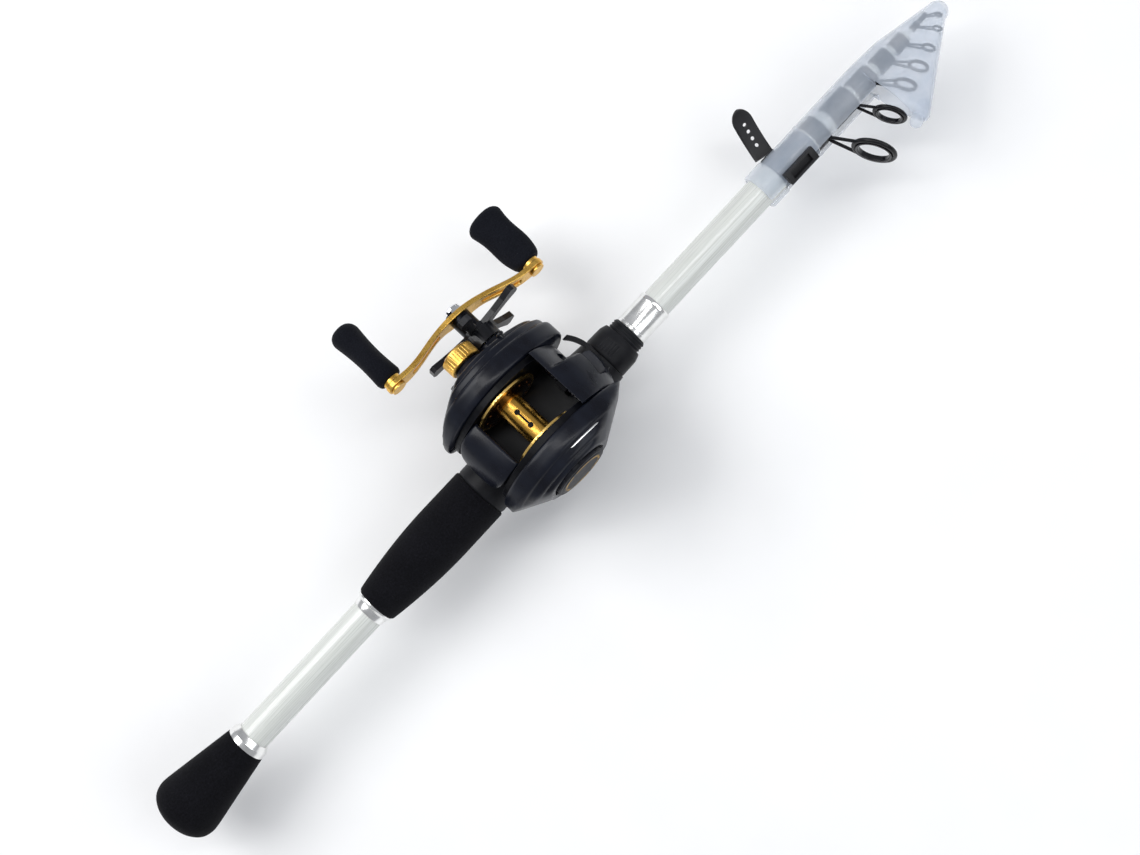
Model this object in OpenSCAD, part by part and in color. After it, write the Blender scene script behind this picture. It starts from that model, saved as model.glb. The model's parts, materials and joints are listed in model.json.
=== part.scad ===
// Telescopic casting rod, closed, with a low-profile baitcasting reel.
// +X runs along the rod to its tip, +Z is the side that the reel stands on and
// +Y is the handle side. The origin is the centre of the flat end of the butt.

/* [Rod] */
// Radius of the handle tube
handle_r = 8; // [7.9:0.05:8.1]
// Radius of the blank ahead of the reel seat
blank_r = 7.6; // [7.5:0.05:7.7]
// Wall between the blank's bore and its front surface
blank_wall = 0.7; // [0.65:0.05:0.75]
// Place of the blank's front end along the rod
blank_end = 438; // [437.5:0.5:438.5]
// Largest radius of the butt cap
butt_r = 16.6; // [15:0.1:18]
// Length of the butt cap
butt_len = 50; // [46:1:50]
// Largest radius of the rear grip
grip_r = 14.5; // [13.8:0.1:15]

/* [Guides and cover] */
// Turn of the guide line about the rod, from the reel's side
guide_turn = 76; // [70:1:80]
// Lean of the guide rings toward the tip
guide_lean = 26; // [20:1:28]
// Wall of the clear tip cover
cover_wall = 0.8; // [0.7:0.05:0.85]

/* [Reel seat] */
// Radius of the seat's body
seat_r = 12.6; // [12.4:0.1:12.8]
// Height of the flat that the reel's foot lies on
seat_flat_z = 9.5; // [9.3:0.1:9.6]

/* [Reel] */
// Place of the spool's axle along the rod
spool_x = 252; // [251.5:0.1:252.5]
// Height of the spool's axle over the rod's axis
spool_z = 34; // [34:0.1:34.4]
// Radius of the spool's flanges
flange_r = 17; // [16.5:0.1:17.2]
// Half of the spool's width over its flanges
spool_half_w = 13; // [12.6:0.1:13.1]
// Radius of the spool's arbor
arbor_r = 6.3; // [5.5:0.1:8]
// Outer face of both side plates, from the middle plane
plate_y = 33; // [32.8:0.1:33.2]

/* [Crank] */
// Half of the distance between the knobs' axles
crank_reach = 45; // [43:0.5:47]
// Turn of the crank at rest, rear end up
crank_turn = 22; // [0:1:60]
// Drop of the crank's ends toward the reel
crank_drop = 5.6; // [5:0.1:6.4]
// Length of each knob
knob_len = 33.4; // [32:0.2:35]
// Teeth of the drive gear
drive_teeth = 63; // [63:1:63]
// Teeth of the pinion on the spool's axle
pinion_teeth = 10; // [10:1:10]

/* [Hidden] */
$fn = 64;
hull_fn = 32;
glue_gap = 0.05;
run_gap = 0.05;

// stations along the rod
blank_start = 6;
butt_check_x = [butt_len, 56];
grip_check_x = [134.6, 140.2];
grip_x = [140.3, 211.7];
seat_x = [211.8, 315.3];
hood_x = [282, 297.2];
nut_x = [297.5, 310];
ferrule_x = [315.5, 333];
wrap_x = [415, 437.5];
bore_r = blank_r - blank_wall;
thread_r = 8.8;
nut_bore_r = 9.5;

// sliding sections, thickest first: outer radius, inner radius, rear end, front end
section_r = [6.5, 5.5, 4.6, 3.8, 3.0, 2.2];
section_bore = [5.9, 4.95, 4.15, 3.35, 2.55];
section_rear = [130, 146, 165, 180, 195, 205];
section_front = [449, 467.5, 482.5, 494.5, 505.5, 517.5];
tip_end_r = 0.8;

// reel axes in the XZ plane
spool_axis = [spool_x, spool_z];
crank_axis = spool_axis + [13.3, -12];
gear_module = 2 * norm(spool_axis - crank_axis) / (drive_teeth + pinion_teeth);
worm_teeth = 18;
level_teeth = 30;
level_module = 0.5;
worm_angle = 15;
worm_axis = crank_axis
    + (worm_teeth + level_teeth) / 2 * level_module * [cos(worm_angle), sin(worm_angle)];
pillar_axis = [worm_axis.x, 19.9];
frame_z = 14.5;
wall_y = [13.8, 16.8];
cavity_y = 17.1;
plate_centre = [256, 26];
crank_mid_y = 59.8;
crank_t = 2.6;
crank_end_y = crank_mid_y - crank_drop;
knob_base_y = crank_end_y + crank_t / 2 + 2.2;

// ---- shared shapes ----

// A profile of [radius, station] points turned about the rod's axis
module turn_x(profile) rotate([0, 90, 0]) rotate_extrude() polygon(profile);

// A tube along the rod's axis
module tube_x(r_out, r_in, x0, x1)
    turn_x([[r_in, x0], [r_out, x0], [r_out, x1], [r_in, x1]]);

// A solid round along the rod's axis
module rod_x(r, x0, x1) translate([x0, 0, 0]) rotate([0, 90, 0]) cylinder(r = r, h = x1 - x0);

// A solid round across the rod, on an axle given in the XZ plane
module rod_y(axis, r, y0, y1)
    translate([axis.x, y0, axis.y]) rotate([-90, 0, 0]) cylinder(r = r, h = y1 - y0);

// A profile of [radius, y] points turned about such an axle
module turn_y(axis, profile)
    translate([axis.x, 0, axis.y]) rotate([-90, 0, 0]) rotate_extrude() polygon(profile);

module tube_y(axis, r_out, r_in, y0, y1)
    turn_y(axis, [[r_in, y0], [r_out, y0], [r_out, y1], [r_in, y1]]);

// An outline in the XZ plane, thickened across the rod
module slab_y(outline, y0, y1)
    translate([0, y1, 0]) rotate([90, 0, 0]) linear_extrude(y1 - y0) polygon(outline);

// A straight round bar between two points
module bar(from, to, r) {
    v = to - from;
    translate(from) rotate([0, acos(v.z / norm(v)), atan2(v.y, v.x)]) cylinder(r = r, h = norm(v));
}

// A box given by its two corners
module block(low, high) translate(low) cube(high - low);

function catmull(a, b, c, d, t) =
    (2 * b + (c - a) * t + (2 * a - 5 * b + 4 * c - d) * t * t
        + (3 * b - a - 3 * c + d) * t * t * t) / 2;

// A smooth closed curve through a few points
function closed_curve(p, steps = 5) =
    let (n = len(p))
    [for (i = [0 : n - 1], k = [0 : steps - 1])
        catmull(p[(i + n - 1) % n], p[i], p[(i + 1) % n], p[(i + 2) % n], k / steps)];

// An outline drawn in or out about the side plates' centre
function drawn_in(outline, k) = [for (p = outline) plate_centre + (p - plate_centre) * k];

// A quarter turn between two [radius, station] points
function quarter(from, to, steps = 8) =
    [for (i = [0 : steps]) let (a = 90 * i / steps)
        [from.x + (to.x - from.x) * sin(a), from.y + (to.y - from.y) * (1 - cos(a))]];

// Straight-flanked teeth. Half widths are parts of the tooth pitch
function gear_outline(teeth, module_mm, first_angle, centre) =
    let (tip = module_mm * (teeth / 2 + 0.8), root = module_mm * (teeth / 2 - 1.15))
    [for (i = [0 : teeth - 1], q = [[-0.30, root], [-0.11, tip], [0.11, tip], [0.30, root]])
        let (a = first_angle + 360 / teeth * (i + q[0]))
        centre + q[1] * [cos(a), sin(a)]];

// ---- rod ----

module butt_cap() color("#17171a") difference() {
    turn_x(concat([[0, 0]], quarter([9, 0], [butt_r, 9]),
        [[butt_r, 12], [10.4, butt_len], [0, butt_len]]));
    rod_x(handle_r + glue_gap, blank_start, butt_len + 1);
}

module butt_plug() color("#303030") rod_x(bore_r - glue_gap, blank_start + 0.1, 20);

module butt_winding_check() color("silver")
    turn_x([[handle_r + glue_gap, butt_check_x[0] + 0.1], [10.2, butt_check_x[0] + 0.1],
        [10.2, 51.6], [9.1, 53], [8.7, butt_check_x[1]], [handle_r + glue_gap, butt_check_x[1]]]);

module rod_blank() color("#dfe6e2")
    turn_x([[bore_r, blank_start + 0.1], [handle_r, blank_start + 0.1], [handle_r, 300],
        [blank_r, 304], [blank_r, blank_end], [bore_r, blank_end]]);

module grip_winding_check() color("silver")
    turn_x([[handle_r + glue_gap, grip_check_x[0]], [8.4, grip_check_x[0]], [8.8, 138],
        [10, 139], [10, grip_check_x[1]], [handle_r + glue_gap, grip_check_x[1]]]);

module rear_grip() color("#17171a")
    turn_x(concat([[handle_r + glue_gap, grip_x[0]]],
        [for (i = [0 : 8]) let (t = i / 8)
            [10.3 + (grip_r - 0.6 - 10.3) * sin(90 * t), grip_x[0] + 28 * t]],
        [[grip_r, 196], [grip_r - 0.3, grip_x[1]], [handle_r + glue_gap, grip_x[1]]]));

module front_ferrule() color("silver")
    turn_x([[blank_r + glue_gap, ferrule_x[0]], [8.5, ferrule_x[0]], [8.5, 317], [8.3, 317.6],
        [8.3, 330.6], [8.5, 331.2], [8.5, 332.4], [8.2, ferrule_x[1]],
        [blank_r + glue_gap, ferrule_x[1]]]);

module blank_end_wrap() color("#4d5a66")
    tube_x(8, blank_r + 0.03, wrap_x[0], wrap_x[1]);

module section(i) color("#e6ebe8")
    tube_x(section_r[i], section_bore[i], section_rear[i], section_front[i]);

module section_tip() color("#e6ebe8")
    translate([section_rear[5], 0, 0]) rotate([0, 90, 0])
        cylinder(r1 = section_r[5], r2 = tip_end_r, h = section_front[5] - section_rear[5]);

// ---- reel seat ----

trigger_outline = closed_curve([[229, -9], [234, -13.5], [240, -20], [243, -28], [248.5, -34],
    [251.5, -32], [250, -25], [250.5, -17], [257, -12.5], [262, -9]]);

module reel_seat() color("#1b1b1e") difference() {
    union() {
        turn_x([[handle_r + glue_gap, seat_x[0]], [13.6, seat_x[0]], [13.8, 214], [13.8, 222],
            [seat_r + 0.4, 226], [seat_r, 229], [seat_r, 279], [11.6, 281.5],
            [thread_r, 281.5], [thread_r, 310.6],
            for (k = [0 : 2], q = [[9.2, 0.3], [9.2, 0.9], [thread_r, 1.2], [thread_r, 1.5]])
                [q[0], 310.6 + 1.5 * k + q[1]],
            [thread_r, seat_x[1]], [handle_r + glue_gap, seat_x[1]]]);
        slab_y(trigger_outline, -3.6, 3.6);
    }
    // flat for the reel's foot, and the pocket that holds its rear tongue
    block([227, -15, seat_flat_z], [282, 15, 20]);
    block([219, -6.4, seat_flat_z], [228, 6.4, 11.9]);
    // the blank's bore stays clear of the trigger's root
    rod_x(handle_r + glue_gap, 200, 320);
}

module seat_hood() color("#1b1b1e") difference() {
    turn_x([[nut_bore_r, hood_x[0]], [13.4, hood_x[0]], [13.9, 283], [13.9, 285.5],
        [13.1, 287.5], [12.2, hood_x[1]], [nut_bore_r, hood_x[1]]]);
    block([hood_x[0] - 1, -6.9, 5], [291, 6.9, 12.2]);
}

module lock_nut() color("#141416") difference() {
    turn_x([[nut_bore_r, nut_x[0]], [11.5, nut_x[0]], [11.7, 298.5], [11.5, 306.5],
        [10.6, 309.4], [10.2, nut_x[1]], [nut_bore_r, nut_x[1]]]);
    // three patches of grip grooves
    for (patch = [0 : 2], k = [-2 : 2])
        rotate([patch * 120 + k * 9, 0, 0]) translate([299.4, 0, 11.9]) rotate([0, 90, 0])
            cylinder(r = 0.55, h = 6.4);
}

module reel_foot() color("#26262a") {
    block([219.4, -6, seat_flat_z + 0.02], [227, 6, 11.6]);
    block([227, -8, seat_flat_z + 0.02], [281.2, 8, 11.9]);
    block([281.2, -6.3, seat_flat_z + 0.1], [288.6, 6.3, 11.7]);
    block([238, -6, 11.9], [270, 6, frame_z]);
}

// ---- guides ----

// Where the legs meet a ring, from its lowest point
leg_angle = 40;

// A guide in its own plane: a foot collar between two stations, two legs from near the
// collar's front end, and a ring of [station, height, radius] that leans to the tip
module guide_body(collar_x, foot_r, foot_bore, ring, wire_r, spread) {
    tube_x(foot_r, foot_bore, collar_x[0], collar_x[1]);
    hoop_r = ring[2] - wire_r;
    low = [ring.x, 0, ring.y] - hoop_r * cos(leg_angle) * [sin(guide_lean), 0, cos(guide_lean)];
    for (side = [-1, 1])
        bar([collar_x[1] - 1.8, side * spread, foot_r - 0.5],
            low + [0, side * hoop_r * sin(leg_angle), 0], wire_r * 0.75);
    ring_place(ring.x, ring.y) rotate_extrude() translate([hoop_r, 0]) circle(r = wire_r);
}

// Puts a ring drawn about the Z axis in its place over the rod
module ring_place(ring_x, ring_d)
    translate([ring_x, 0, ring_d]) rotate([0, guide_lean, 0]) rotate([0, 90, 0]) children();

module guide_insert(ring_x, ring_d, r_out, r_in, half_t)
    ring_place(ring_x, ring_d) rotate_extrude()
        polygon([[r_in, -half_t + 0.4], [r_in + 0.4, -half_t], [r_out, -half_t], [r_out, half_t],
            [r_in + 0.4, half_t], [r_in, half_t - 0.4]]);

module in_guide_line() rotate([guide_turn, 0, 0]) children();

ring_1 = [452.6, 28.3, 10.9];
ring_2 = [470.6, 21.6, 8.3];

module guide_1_frame() color("#101012") in_guide_line()
    guide_body([439, 446.5], 7.6, section_r[0] + 0.03, ring_1, 1.1, 1.3);

module guide_1_ring() color("#26262c") in_guide_line()
    guide_insert(ring_1.x, ring_1.y, 8.68, 7.5, 1.5);

module guide_2_frame() color("#101012") in_guide_line()
    guide_body([452, 466.5], 6.6, section_r[1] + 0.03, ring_2, 0.95, 1.2);

module guide_2_ring() color("#26262c") in_guide_line()
    guide_insert(ring_2.x, ring_2.y, 6.38, 5.4, 1.2);

module guide_3() color("#202226") in_guide_line()
    guide_body([469, 481], 5.7, section_r[2] + 0.03, [486.3, 17.1, 5.7], 0.9, 1.1);

module guide_4() color("#202226") in_guide_line()
    guide_body([484.5, 493], 4.8, section_r[3] + 0.03, [496.9, 15.5, 5.1], 0.8, 1);

module guide_5() color("#202226") in_guide_line()
    guide_body([496.5, 503.8], 3.9, section_r[4] + 0.03, [506.8, 12.9, 3.4], 0.65, 0.8);

module guide_6() color("#202226") in_guide_line()
    guide_body([509.5, 513.5], 1.7, tip_end_r + 0.06, [516.6, 9.4, 2.5], 0.5, 0.4);

tip_ring = [522.4, 4.9];

module tip_top() color("#202226") in_guide_line() {
    difference() {
        rod_x(1.25, 514.4, 519.4);
        rod_x(tip_end_r + 0.04, 514, 517.9);
    }
    for (side = [-1, 1])
        bar([518.4, side * 0.5, 0.6], [tip_ring.x - 0.4, side * 1.25, tip_ring.y - 1.05], 0.4);
    ring_place(tip_ring.x, tip_ring.y) rotate_extrude()
        polygon([[1.15, -0.45], [1.45, -0.7], [1.9, -0.35], [1.9, 0.35], [1.45, 0.7], [1.15, 0.45]]);
}

// ---- tip cover ----

fin_rear_x = 476.5;
fin_corner_r = 3.3;
fin_lobe = [[475, 33.8], [483, 31]];
slit_w = 7.2;

// The fin's solid form, drawn in by the wall for its inside
module fin_form(inset, rear_x) hull() {
    $fn = hull_fn;
    rod_x(9.3 - inset, rear_x, rear_x + 0.5);
    translate([0, 0, 18]) rod_x(9.2 - inset, rear_x, rear_x + 0.5);
    translate([fin_rear_x + fin_corner_r, 0, 34.2]) sphere(r = fin_corner_r - inset);
    rod_x(8.3 - inset, 493, 493.5);
    translate([523.3, 0, 3.4]) sphere(r = 5.2 - inset);
}

module tip_cover() color("#cfdcea", 0.5) in_guide_line() difference() {
    union() {
        turn_x([[0, 404.4], [9.5, 404.4], [9.8, 405.2], [9.8, 414.6], [9.25, 415.4], [9.25, 437],
            [9.5, 437.3], [9.5, 438.5], [9.3, 439], [9.3, fin_rear_x + 0.2], [0, fin_rear_x + 0.2]]);
        fin_form(0, fin_rear_x);
        // solid lobe behind the fin's far corner
        hull() for (p = fin_lobe) translate([p.x, 0, p.y]) sphere(r = 3.2, $fn = hull_fn);
    }
    rod_x(8.4, 400, fin_rear_x + 1);
    fin_form(cover_wall, fin_rear_x - 0.6);
    // the slit that the guides pass through when the cover comes off
    block([400, -slit_w / 2, 0], [fin_rear_x + 0.1, slit_w / 2, 12]);
}

// ---- cover strap ----

strap_w = 10;
strap_t = 1.8;
strap_bend_r = 30;
strap_root = [420, 11.2, -3.4];
strap_lean = 14;

// A band of the strap's bend between two angles, in the plane across the rod
function strap_band(r_in, r_out, a0, a1, steps = 16) = concat(
    [for (i = [0 : steps]) let (a = a0 + (a1 - a0) * i / steps) r_in * [cos(a), sin(a)]],
    [for (i = [steps : -1 : 0]) let (a = a0 + (a1 - a0) * i / steps) r_out * [cos(a), sin(a)]]);

module strap_tail() color("#111113") translate(strap_root) rotate([0, 0, -strap_lean]) {
    half_w = strap_w / 2;
    straight = 17.5;
    difference() {
        intersection() {
            translate([-strap_w, 0, strap_bend_r]) rotate([90, 0, 90]) linear_extrude(2 * strap_w)
                polygon(strap_band(strap_bend_r, strap_bend_r + strap_t, -90, -40));
            // straight sides and a rounded free end
            translate([0, 0, -40]) linear_extrude(100) polygon(concat(
                [[-half_w, -2]],
                [for (a = [180 : -12 : 0]) [half_w * cos(a), straight + half_w * sin(a)]],
                [[half_w, -2]]));
        }
        // buckle holes
        for (k = [0 : 3])
            translate([0, 0, strap_bend_r]) rotate([12.25 + 7 * k, 0, 0])
                translate([0, 0, -strap_bend_r - 4]) cylinder(r = 0.95, h = 8);
    }
}

module buckle_sector(r, a0, a1) rotate([90, 0, 90]) linear_extrude(40)
    polygon([[0, 0], r * [-sin(a0), cos(a0)], r * [-sin((a0 + a1) / 2), cos((a0 + a1) / 2)] * 1.2,
        r * [-sin(a1), cos(a1)]]);

// The buckle beside the cover's slit, and the lug that the strap's root bends from
module strap_buckle() color("#111113") {
    difference() {
        intersection() {
            tube_x(13.2, 9.3, 415.8, 434);
            translate([405, 0, 0]) buckle_sector(20, 24, 55);
        }
        // the window that the strap's tail goes through
        intersection() {
            tube_x(14, 10.8, 418.6, 430.8);
            translate([405, 0, 0]) buckle_sector(20, 30, 49);
        }
    }
    intersection() {
        tube_x(10.1, 9.3, 416, 424.5);
        translate([405, 0, 0]) buckle_sector(20, -130, -92);
    }
}

// ---- reel frame and covers ----

wall_outline = closed_curve([[222, 19], [220.5, 29], [229, 42], [241, 50.5], [254, 52.8],
    [268, 49.5], [278, 41], [283, 30], [283, 20], [276, 14.5], [252, 14.5], [230, 14.5]]);

module reel_frame() color("#202024") {
    difference() {
        union() {
            slab_y(wall_outline, wall_y[0], wall_y[1]);
            slab_y(wall_outline, -wall_y[1], -wall_y[0]);
            block([228, -14, frame_z], [280, 14, 17.4]);
            block([223.5, -14, 15.5], [231, 14, 20.4]);
            block([277, -14, 15], [281.5, 14, 17.2]);
        }
        // the spool's well, open on the palm side
        rod_y(spool_axis, flange_r + 0.6, -20, wall_y[0]);
        // bearing seat, crank shaft and worm journals
        rod_y(spool_axis, 4.5 + 0.02, 10, 20);
        rod_y(crank_axis, 3 + run_gap, 10, 20);
        rod_y(worm_axis, 2 + run_gap, -20, 20);
        // guide pillar seats
        rod_y(pillar_axis, 1 + 0.02, -20, 20);
        // flat under the frame
        block([200, -20, 0], [300, 20, frame_z]);
    }
    // front lip, with a thin side bar that bends round to the handle plate
    block([280, -8, 15.4], [288.5, 8, 17.2]);
    difference() {
        translate([276, 5, 15.4]) cylinder(r = 21, h = 3.2);
        translate([276, 5, 15]) cylinder(r = 18.7, h = 4);
        block([240, -30, 14], [284, 30, 20]);
        block([284, 17, 14], [300, 30, 20]);
        block([284, -30, 14], [300, -8, 20]);
    }
    block([287, -8, 15.4], [295.5, 6, 18.6]);
}

handle_outline = closed_curve([[216.8, 23], [221, 36], [233, 48.5], [250, 54.6], [266, 52.5],
    [281, 43], [291, 29], [289, 16], [279, 6], [265, 3], [249, 6.5], [236, 13], [226, 16]]);

// The handle plate's rear shoulder is turned about this point
handle_shoulder = [262, 28];
screw_places = [[241, 39], [272, 44], [280, 18]];

// The shoulder's turned form, drawn in for the inside
module handle_shoulder_form(inset) turn_y(handle_shoulder, [[0, 15], [46 - inset, 15],
    [46 - inset, 20.5], [41 - inset, 23.5], [35.5 - inset, 27.1], [31 - inset, 30],
    [26 - inset, plate_y + 0.1], [0, plate_y + 0.1]]);

module handle_side_plate() color("#1d1e24") difference() {
    union() {
        intersection() {
            union() {
                slab_y(handle_outline, cavity_y, 26);
                slab_y(drawn_in(handle_outline, 0.95), 26, 30);
                slab_y(drawn_in(handle_outline, 0.86), 30, plate_y);
            }
            handle_shoulder_form(0);
        }
        // stepped boss under the star drag and threaded boss under the tension cap
        rod_y(crank_axis, 9.4, plate_y - 2, 36);
        rod_y(crank_axis, 8.4, plate_y - 2, 39.4);
        rod_y(spool_axis, 7.6, plate_y - 2, 37);
        rod_y(spool_axis, 6.2, plate_y - 2, 41.5);
    }
    intersection() {
        union() {
            slab_y(drawn_in(handle_outline, 0.9), cavity_y - 1, 25);
            slab_y(drawn_in(handle_outline, 0.82), 24, 28.6);
        }
        handle_shoulder_form(2.6);
    }
    // bores for the anti-reverse bearing and for the spool's axle
    rod_y(crank_axis, 6.5, 20, 38);
    rod_y(crank_axis, 3.4, 20, 45);
    rod_y(spool_axis, 1.9, 20, 45);
    for (p = screw_places) rod_y(p, 1.22, 20, 40);
}

module side_plate_screws() color("#8a8d92") for (p = screw_places) {
    difference() {
        rod_y(p, 1.9, plate_y + 0.02, plate_y + 0.9);
        translate([p.x, 0, p.y]) block([-1.4, plate_y + 0.5, -0.25], [1.4, plate_y + 2, 0.25]);
    }
    rod_y(p, 1.2, 29, plate_y + 0.1);
}

palm_outline = closed_curve([[218, 24], [221, 37], [233, 49], [250, 54.6], [267, 52.5],
    [282, 44], [293, 31], [293, 19], [282, 8], [265, 5], [245, 6.5], [229, 13]]);

// The palm plate narrows to the brake dial
module palm_shoulder_form(inset) turn_y(spool_axis, [[0, -plate_y - 0.1],
    [17.6 - inset, -plate_y - 0.1], [21.2 - inset, -31.1], [32.3 - inset, -24.7],
    [36 - inset, -22.6], [43 - inset, -17], [43 - inset, -15], [0, -15]]);

module palm_side_plate() color("#1d1e24") difference() {
    intersection() {
        union() {
            slab_y(palm_outline, -26, -cavity_y);
            slab_y(drawn_in(palm_outline, 0.94), -30.5, -26);
            slab_y(drawn_in(palm_outline, 0.84), -plate_y, -30.5);
        }
        palm_shoulder_form(0);
    }
    intersection() {
        difference() {
            slab_y(drawn_in(palm_outline, 0.9), -25, -cavity_y + 1);
            rod_y(spool_axis, 6.6, -26, -cavity_y + 1);
        }
        palm_shoulder_form(2.6);
    }
    intersection() {
        slab_y(drawn_in(palm_outline, 0.8), -29, -26 + 0.9);
        palm_shoulder_form(2.6);
    }
    // bearing pocket and the recess that the brake dial turns in
    rod_y(spool_axis, 4.52, -21.2, 0);
    rod_y(spool_axis, 2.2, -24, 0);
    rod_y(spool_axis, 15, -40, -31.4);
    rod_y(spool_axis, 3 + run_gap, -40, -24.5);
}

module brake_dial() color("#1a1a1c") difference() {
    turn_y(spool_axis, [[0, -35], [11.6, -35], [12.6, -34.6], [13.6, -34.6], [14.6, -33.9],
        [14.6, -31.7], [3, -31.7], [3, -26], [0, -26]]);
    // finger grip grooves
    for (k = [0 : 17])
        translate([spool_axis.x, 0, spool_axis.y]) rotate([0, 20 * k, 0]) translate([15, 0, 0])
            rotate([90, 0, 0]) cylinder(r = 0.8, h = 40);
}

cowl_outer = [[274.6, 50.2], [279.5, 47.8], [284.5, 43.8], [288.8, 38.8], [292.2, 33],
    [294.6, 26.5], [295.6, 20], [295.6, 19]];
cowl_inner = [[290.8, 19], [290.6, 24], [288.4, 30.5], [285.2, 36.3], [281.2, 41.2],
    [277, 44.8], [274.6, 46.4]];
cowl_half_w = 16.6;
// The cowling reaches less far on the crank side, behind the frame's side bar
cowl_step_y = 5;
cowl_short = 0.52;

module front_cowling() color("#1d1e24") difference() {
    section = concat(cowl_outer, cowl_inner);
    rear_x = section[0].x;
    short_section = [for (p = section) [rear_x + (p.x - rear_x) * cowl_short, p.y]];
    union() {
        intersection() {
            slab_y(section, -cowl_half_w, cowl_step_y);
            translate([266, 0, 0]) cylinder(r = 29.6, h = 80);
        }
        slab_y(short_section, cowl_step_y - 1, cowl_half_w);
    }
    // the window that the line leaves by
    block([279, -10.5, 26], [300, 10.5, 36]);
    // the frame's walls stand inside the cowling
    for (side = [0, 1]) mirror([0, side, 0])
        slab_y(drawn_in(wall_outline, 1.012), wall_y[0] - 0.3, wall_y[1] + 0.3);
}

// ---- spool and clutch ----

module spool() color("#d9a12b") difference() {
    turn_y(spool_axis, [[1.5 + 0.02, -spool_half_w + 1], [4, -spool_half_w + 1],
        [5, -spool_half_w + 1.6], [flange_r - 1, -spool_half_w], [flange_r, -spool_half_w],
        [flange_r, -spool_half_w + 1.1], [flange_r - 1, -spool_half_w + 1.3],
        [arbor_r, -spool_half_w + 3], [arbor_r, spool_half_w - 3],
        [flange_r - 1, spool_half_w - 1.3], [flange_r, spool_half_w - 1.1],
        [flange_r, spool_half_w], [flange_r - 1, spool_half_w], [5, spool_half_w - 1.6],
        [4, spool_half_w - 1], [1.5 + 0.02, spool_half_w - 1]]);
    translate([spool_axis.x, 0, spool_axis.y]) {
        // line tie: two holes joined by a slot, at the top of the arbor
        for (side = [-1, 1]) translate([0, side * 4.2, 2.5]) cylinder(r = 1.3, h = 6);
        block([-0.45, -4.2, 3.5], [0.45, 4.2, 8]);
        // lightening holes through both flanges
        for (k = [0 : 11]) rotate([0, 30 * k + 15, 0]) translate([13.2, 0, 0]) rotate([90, 0, 0])
            cylinder(r = 1.1, h = 60, center = true);
    }
}

module spool_shaft() color("silver") {
    rod_y(spool_axis, 1.5, -21.5, 43);
}

module spool_bearings() color("#9aa0a6") {
    tube_y(spool_axis, 4.5, 1.5 + run_gap, wall_y[0] + 0.1, wall_y[1]);
    tube_y(spool_axis, 4.5, 1.5 + run_gap, -21.1, -18.2);
}

mesh_angle = atan2(spool_axis.y - crank_axis.y, spool_axis.x - crank_axis.x);

module pinion_gear() color("#c9a227") difference() {
    union() {
        slab_y(gear_outline(pinion_teeth, gear_module, mesh_angle + 180 + 180 / pinion_teeth,
            spool_axis), 20.4, 25.2);
        rod_y(spool_axis, 2.1, 25.1, 28.3);
    }
    rod_y(spool_axis, 1.52, 18, 30);
}

module clutch_yoke() color("#8e8e93") difference() {
    slab_y([for (p = [[-9, -3.4], [-9, 3.4], [-4, 5], [5, 5], [5, -3.4]]) spool_axis + p], 25.8, 26.8);
    rod_y(spool_axis, 2.5, 20, 30);
}

thumb_stem_x = [224.4, 230];

// The thumb bar is a bent plate, convex to the rear and top, on a short stem
module thumb_bar() color("#20242e") {
    bend = [237.4, 27.8];
    bend_r = [15.4, 18.6];
    difference() {
        slab_y(concat([for (a = [94 : 8 : 174]) bend + bend_r[1] * [cos(a), sin(a)]],
            [for (a = [174 : -8 : 94]) bend + bend_r[0] * [cos(a), sin(a)]]), -13.3, 13.3);
        rod_y(spool_axis + [0, 3.2], flange_r + 0.6, -14, 14);
        rod_y(spool_axis, flange_r + 0.6, -14, 14);
    }
    // the stem ends inside the plate
    intersection() {
        block([thumb_stem_x[0], -4, 29], [thumb_stem_x[1], 4, 39]);
        union() {
            rod_y(bend, bend_r[0] + 0.6, -5, 5);
            block([thumb_stem_x[0], -5, 29], [thumb_stem_x[1], 5, 31]);
        }
    }
}

spring_turns = 4;
spring_r = 1.9;
spring_wire = 0.35;
spring_z = [20.4 + spring_wire, 29 - spring_wire];

// A coil spring as one swept solid of six-sided rings
module clutch_spring() color("silver") {
    steps = 14 * spring_turns;
    sides = 6;
    centre = (thumb_stem_x[0] + thumb_stem_x[1]) / 2;
    points = [for (i = [0 : steps], k = [0 : sides - 1])
        let (a = 360 * spring_turns * i / steps, b = 360 * k / sides,
            r = spring_r + spring_wire * cos(b),
            z = spring_z[0] + (spring_z[1] - spring_z[0]) * i / steps)
        [centre + r * cos(a), r * sin(a), z + spring_wire * sin(b)]];
    walls = [for (i = [0 : steps - 1], k = [0 : sides - 1])
        let (a = i * sides + k, b = i * sides + (k + 1) % sides)
        [a, a + sides, b + sides, b]];
    ends = [[for (k = [0 : sides - 1]) k], [for (k = [sides - 1 : -1 : 0]) steps * sides + k]];
    polyhedron(points, concat(walls, ends));
}

// ---- gear train ----

module drive_shaft() color("#b9bcc2") {
    rod_y(crank_axis, 3, 14.2, crank_mid_y - crank_t / 2);
    rod_y(crank_axis, 2.2, crank_mid_y - crank_t / 2, crank_mid_y + 4.3);
    tube_y(crank_axis, 9, 3, 20.2, 20.9);
    // sleeve between the star drag and the crank
    tube_y(crank_axis, 5.4, 3, 49.9, crank_mid_y - crank_t / 2 - 0.1);
}

module drive_gear() color("#c9a227") difference() {
    slab_y(gear_outline(drive_teeth, gear_module, mesh_angle, crank_axis), 21, 24.8);
    rod_y(crank_axis, 3.02, 18, 28);
}

module drag_washers() color("#5a5048") for (k = [0 : 2])
    tube_y(crank_axis, 9 - 0.4 * (k % 2), 3.02, 24.9 + 0.8 * k, 25.6 + 0.8 * k);

module level_wind_gear() color("#e8e6df") difference() {
    slab_y(gear_outline(level_teeth, level_module, worm_angle, crank_axis), 17.6, 19.8);
    rod_y(crank_axis, 3.02, 15, 28);
}

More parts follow.
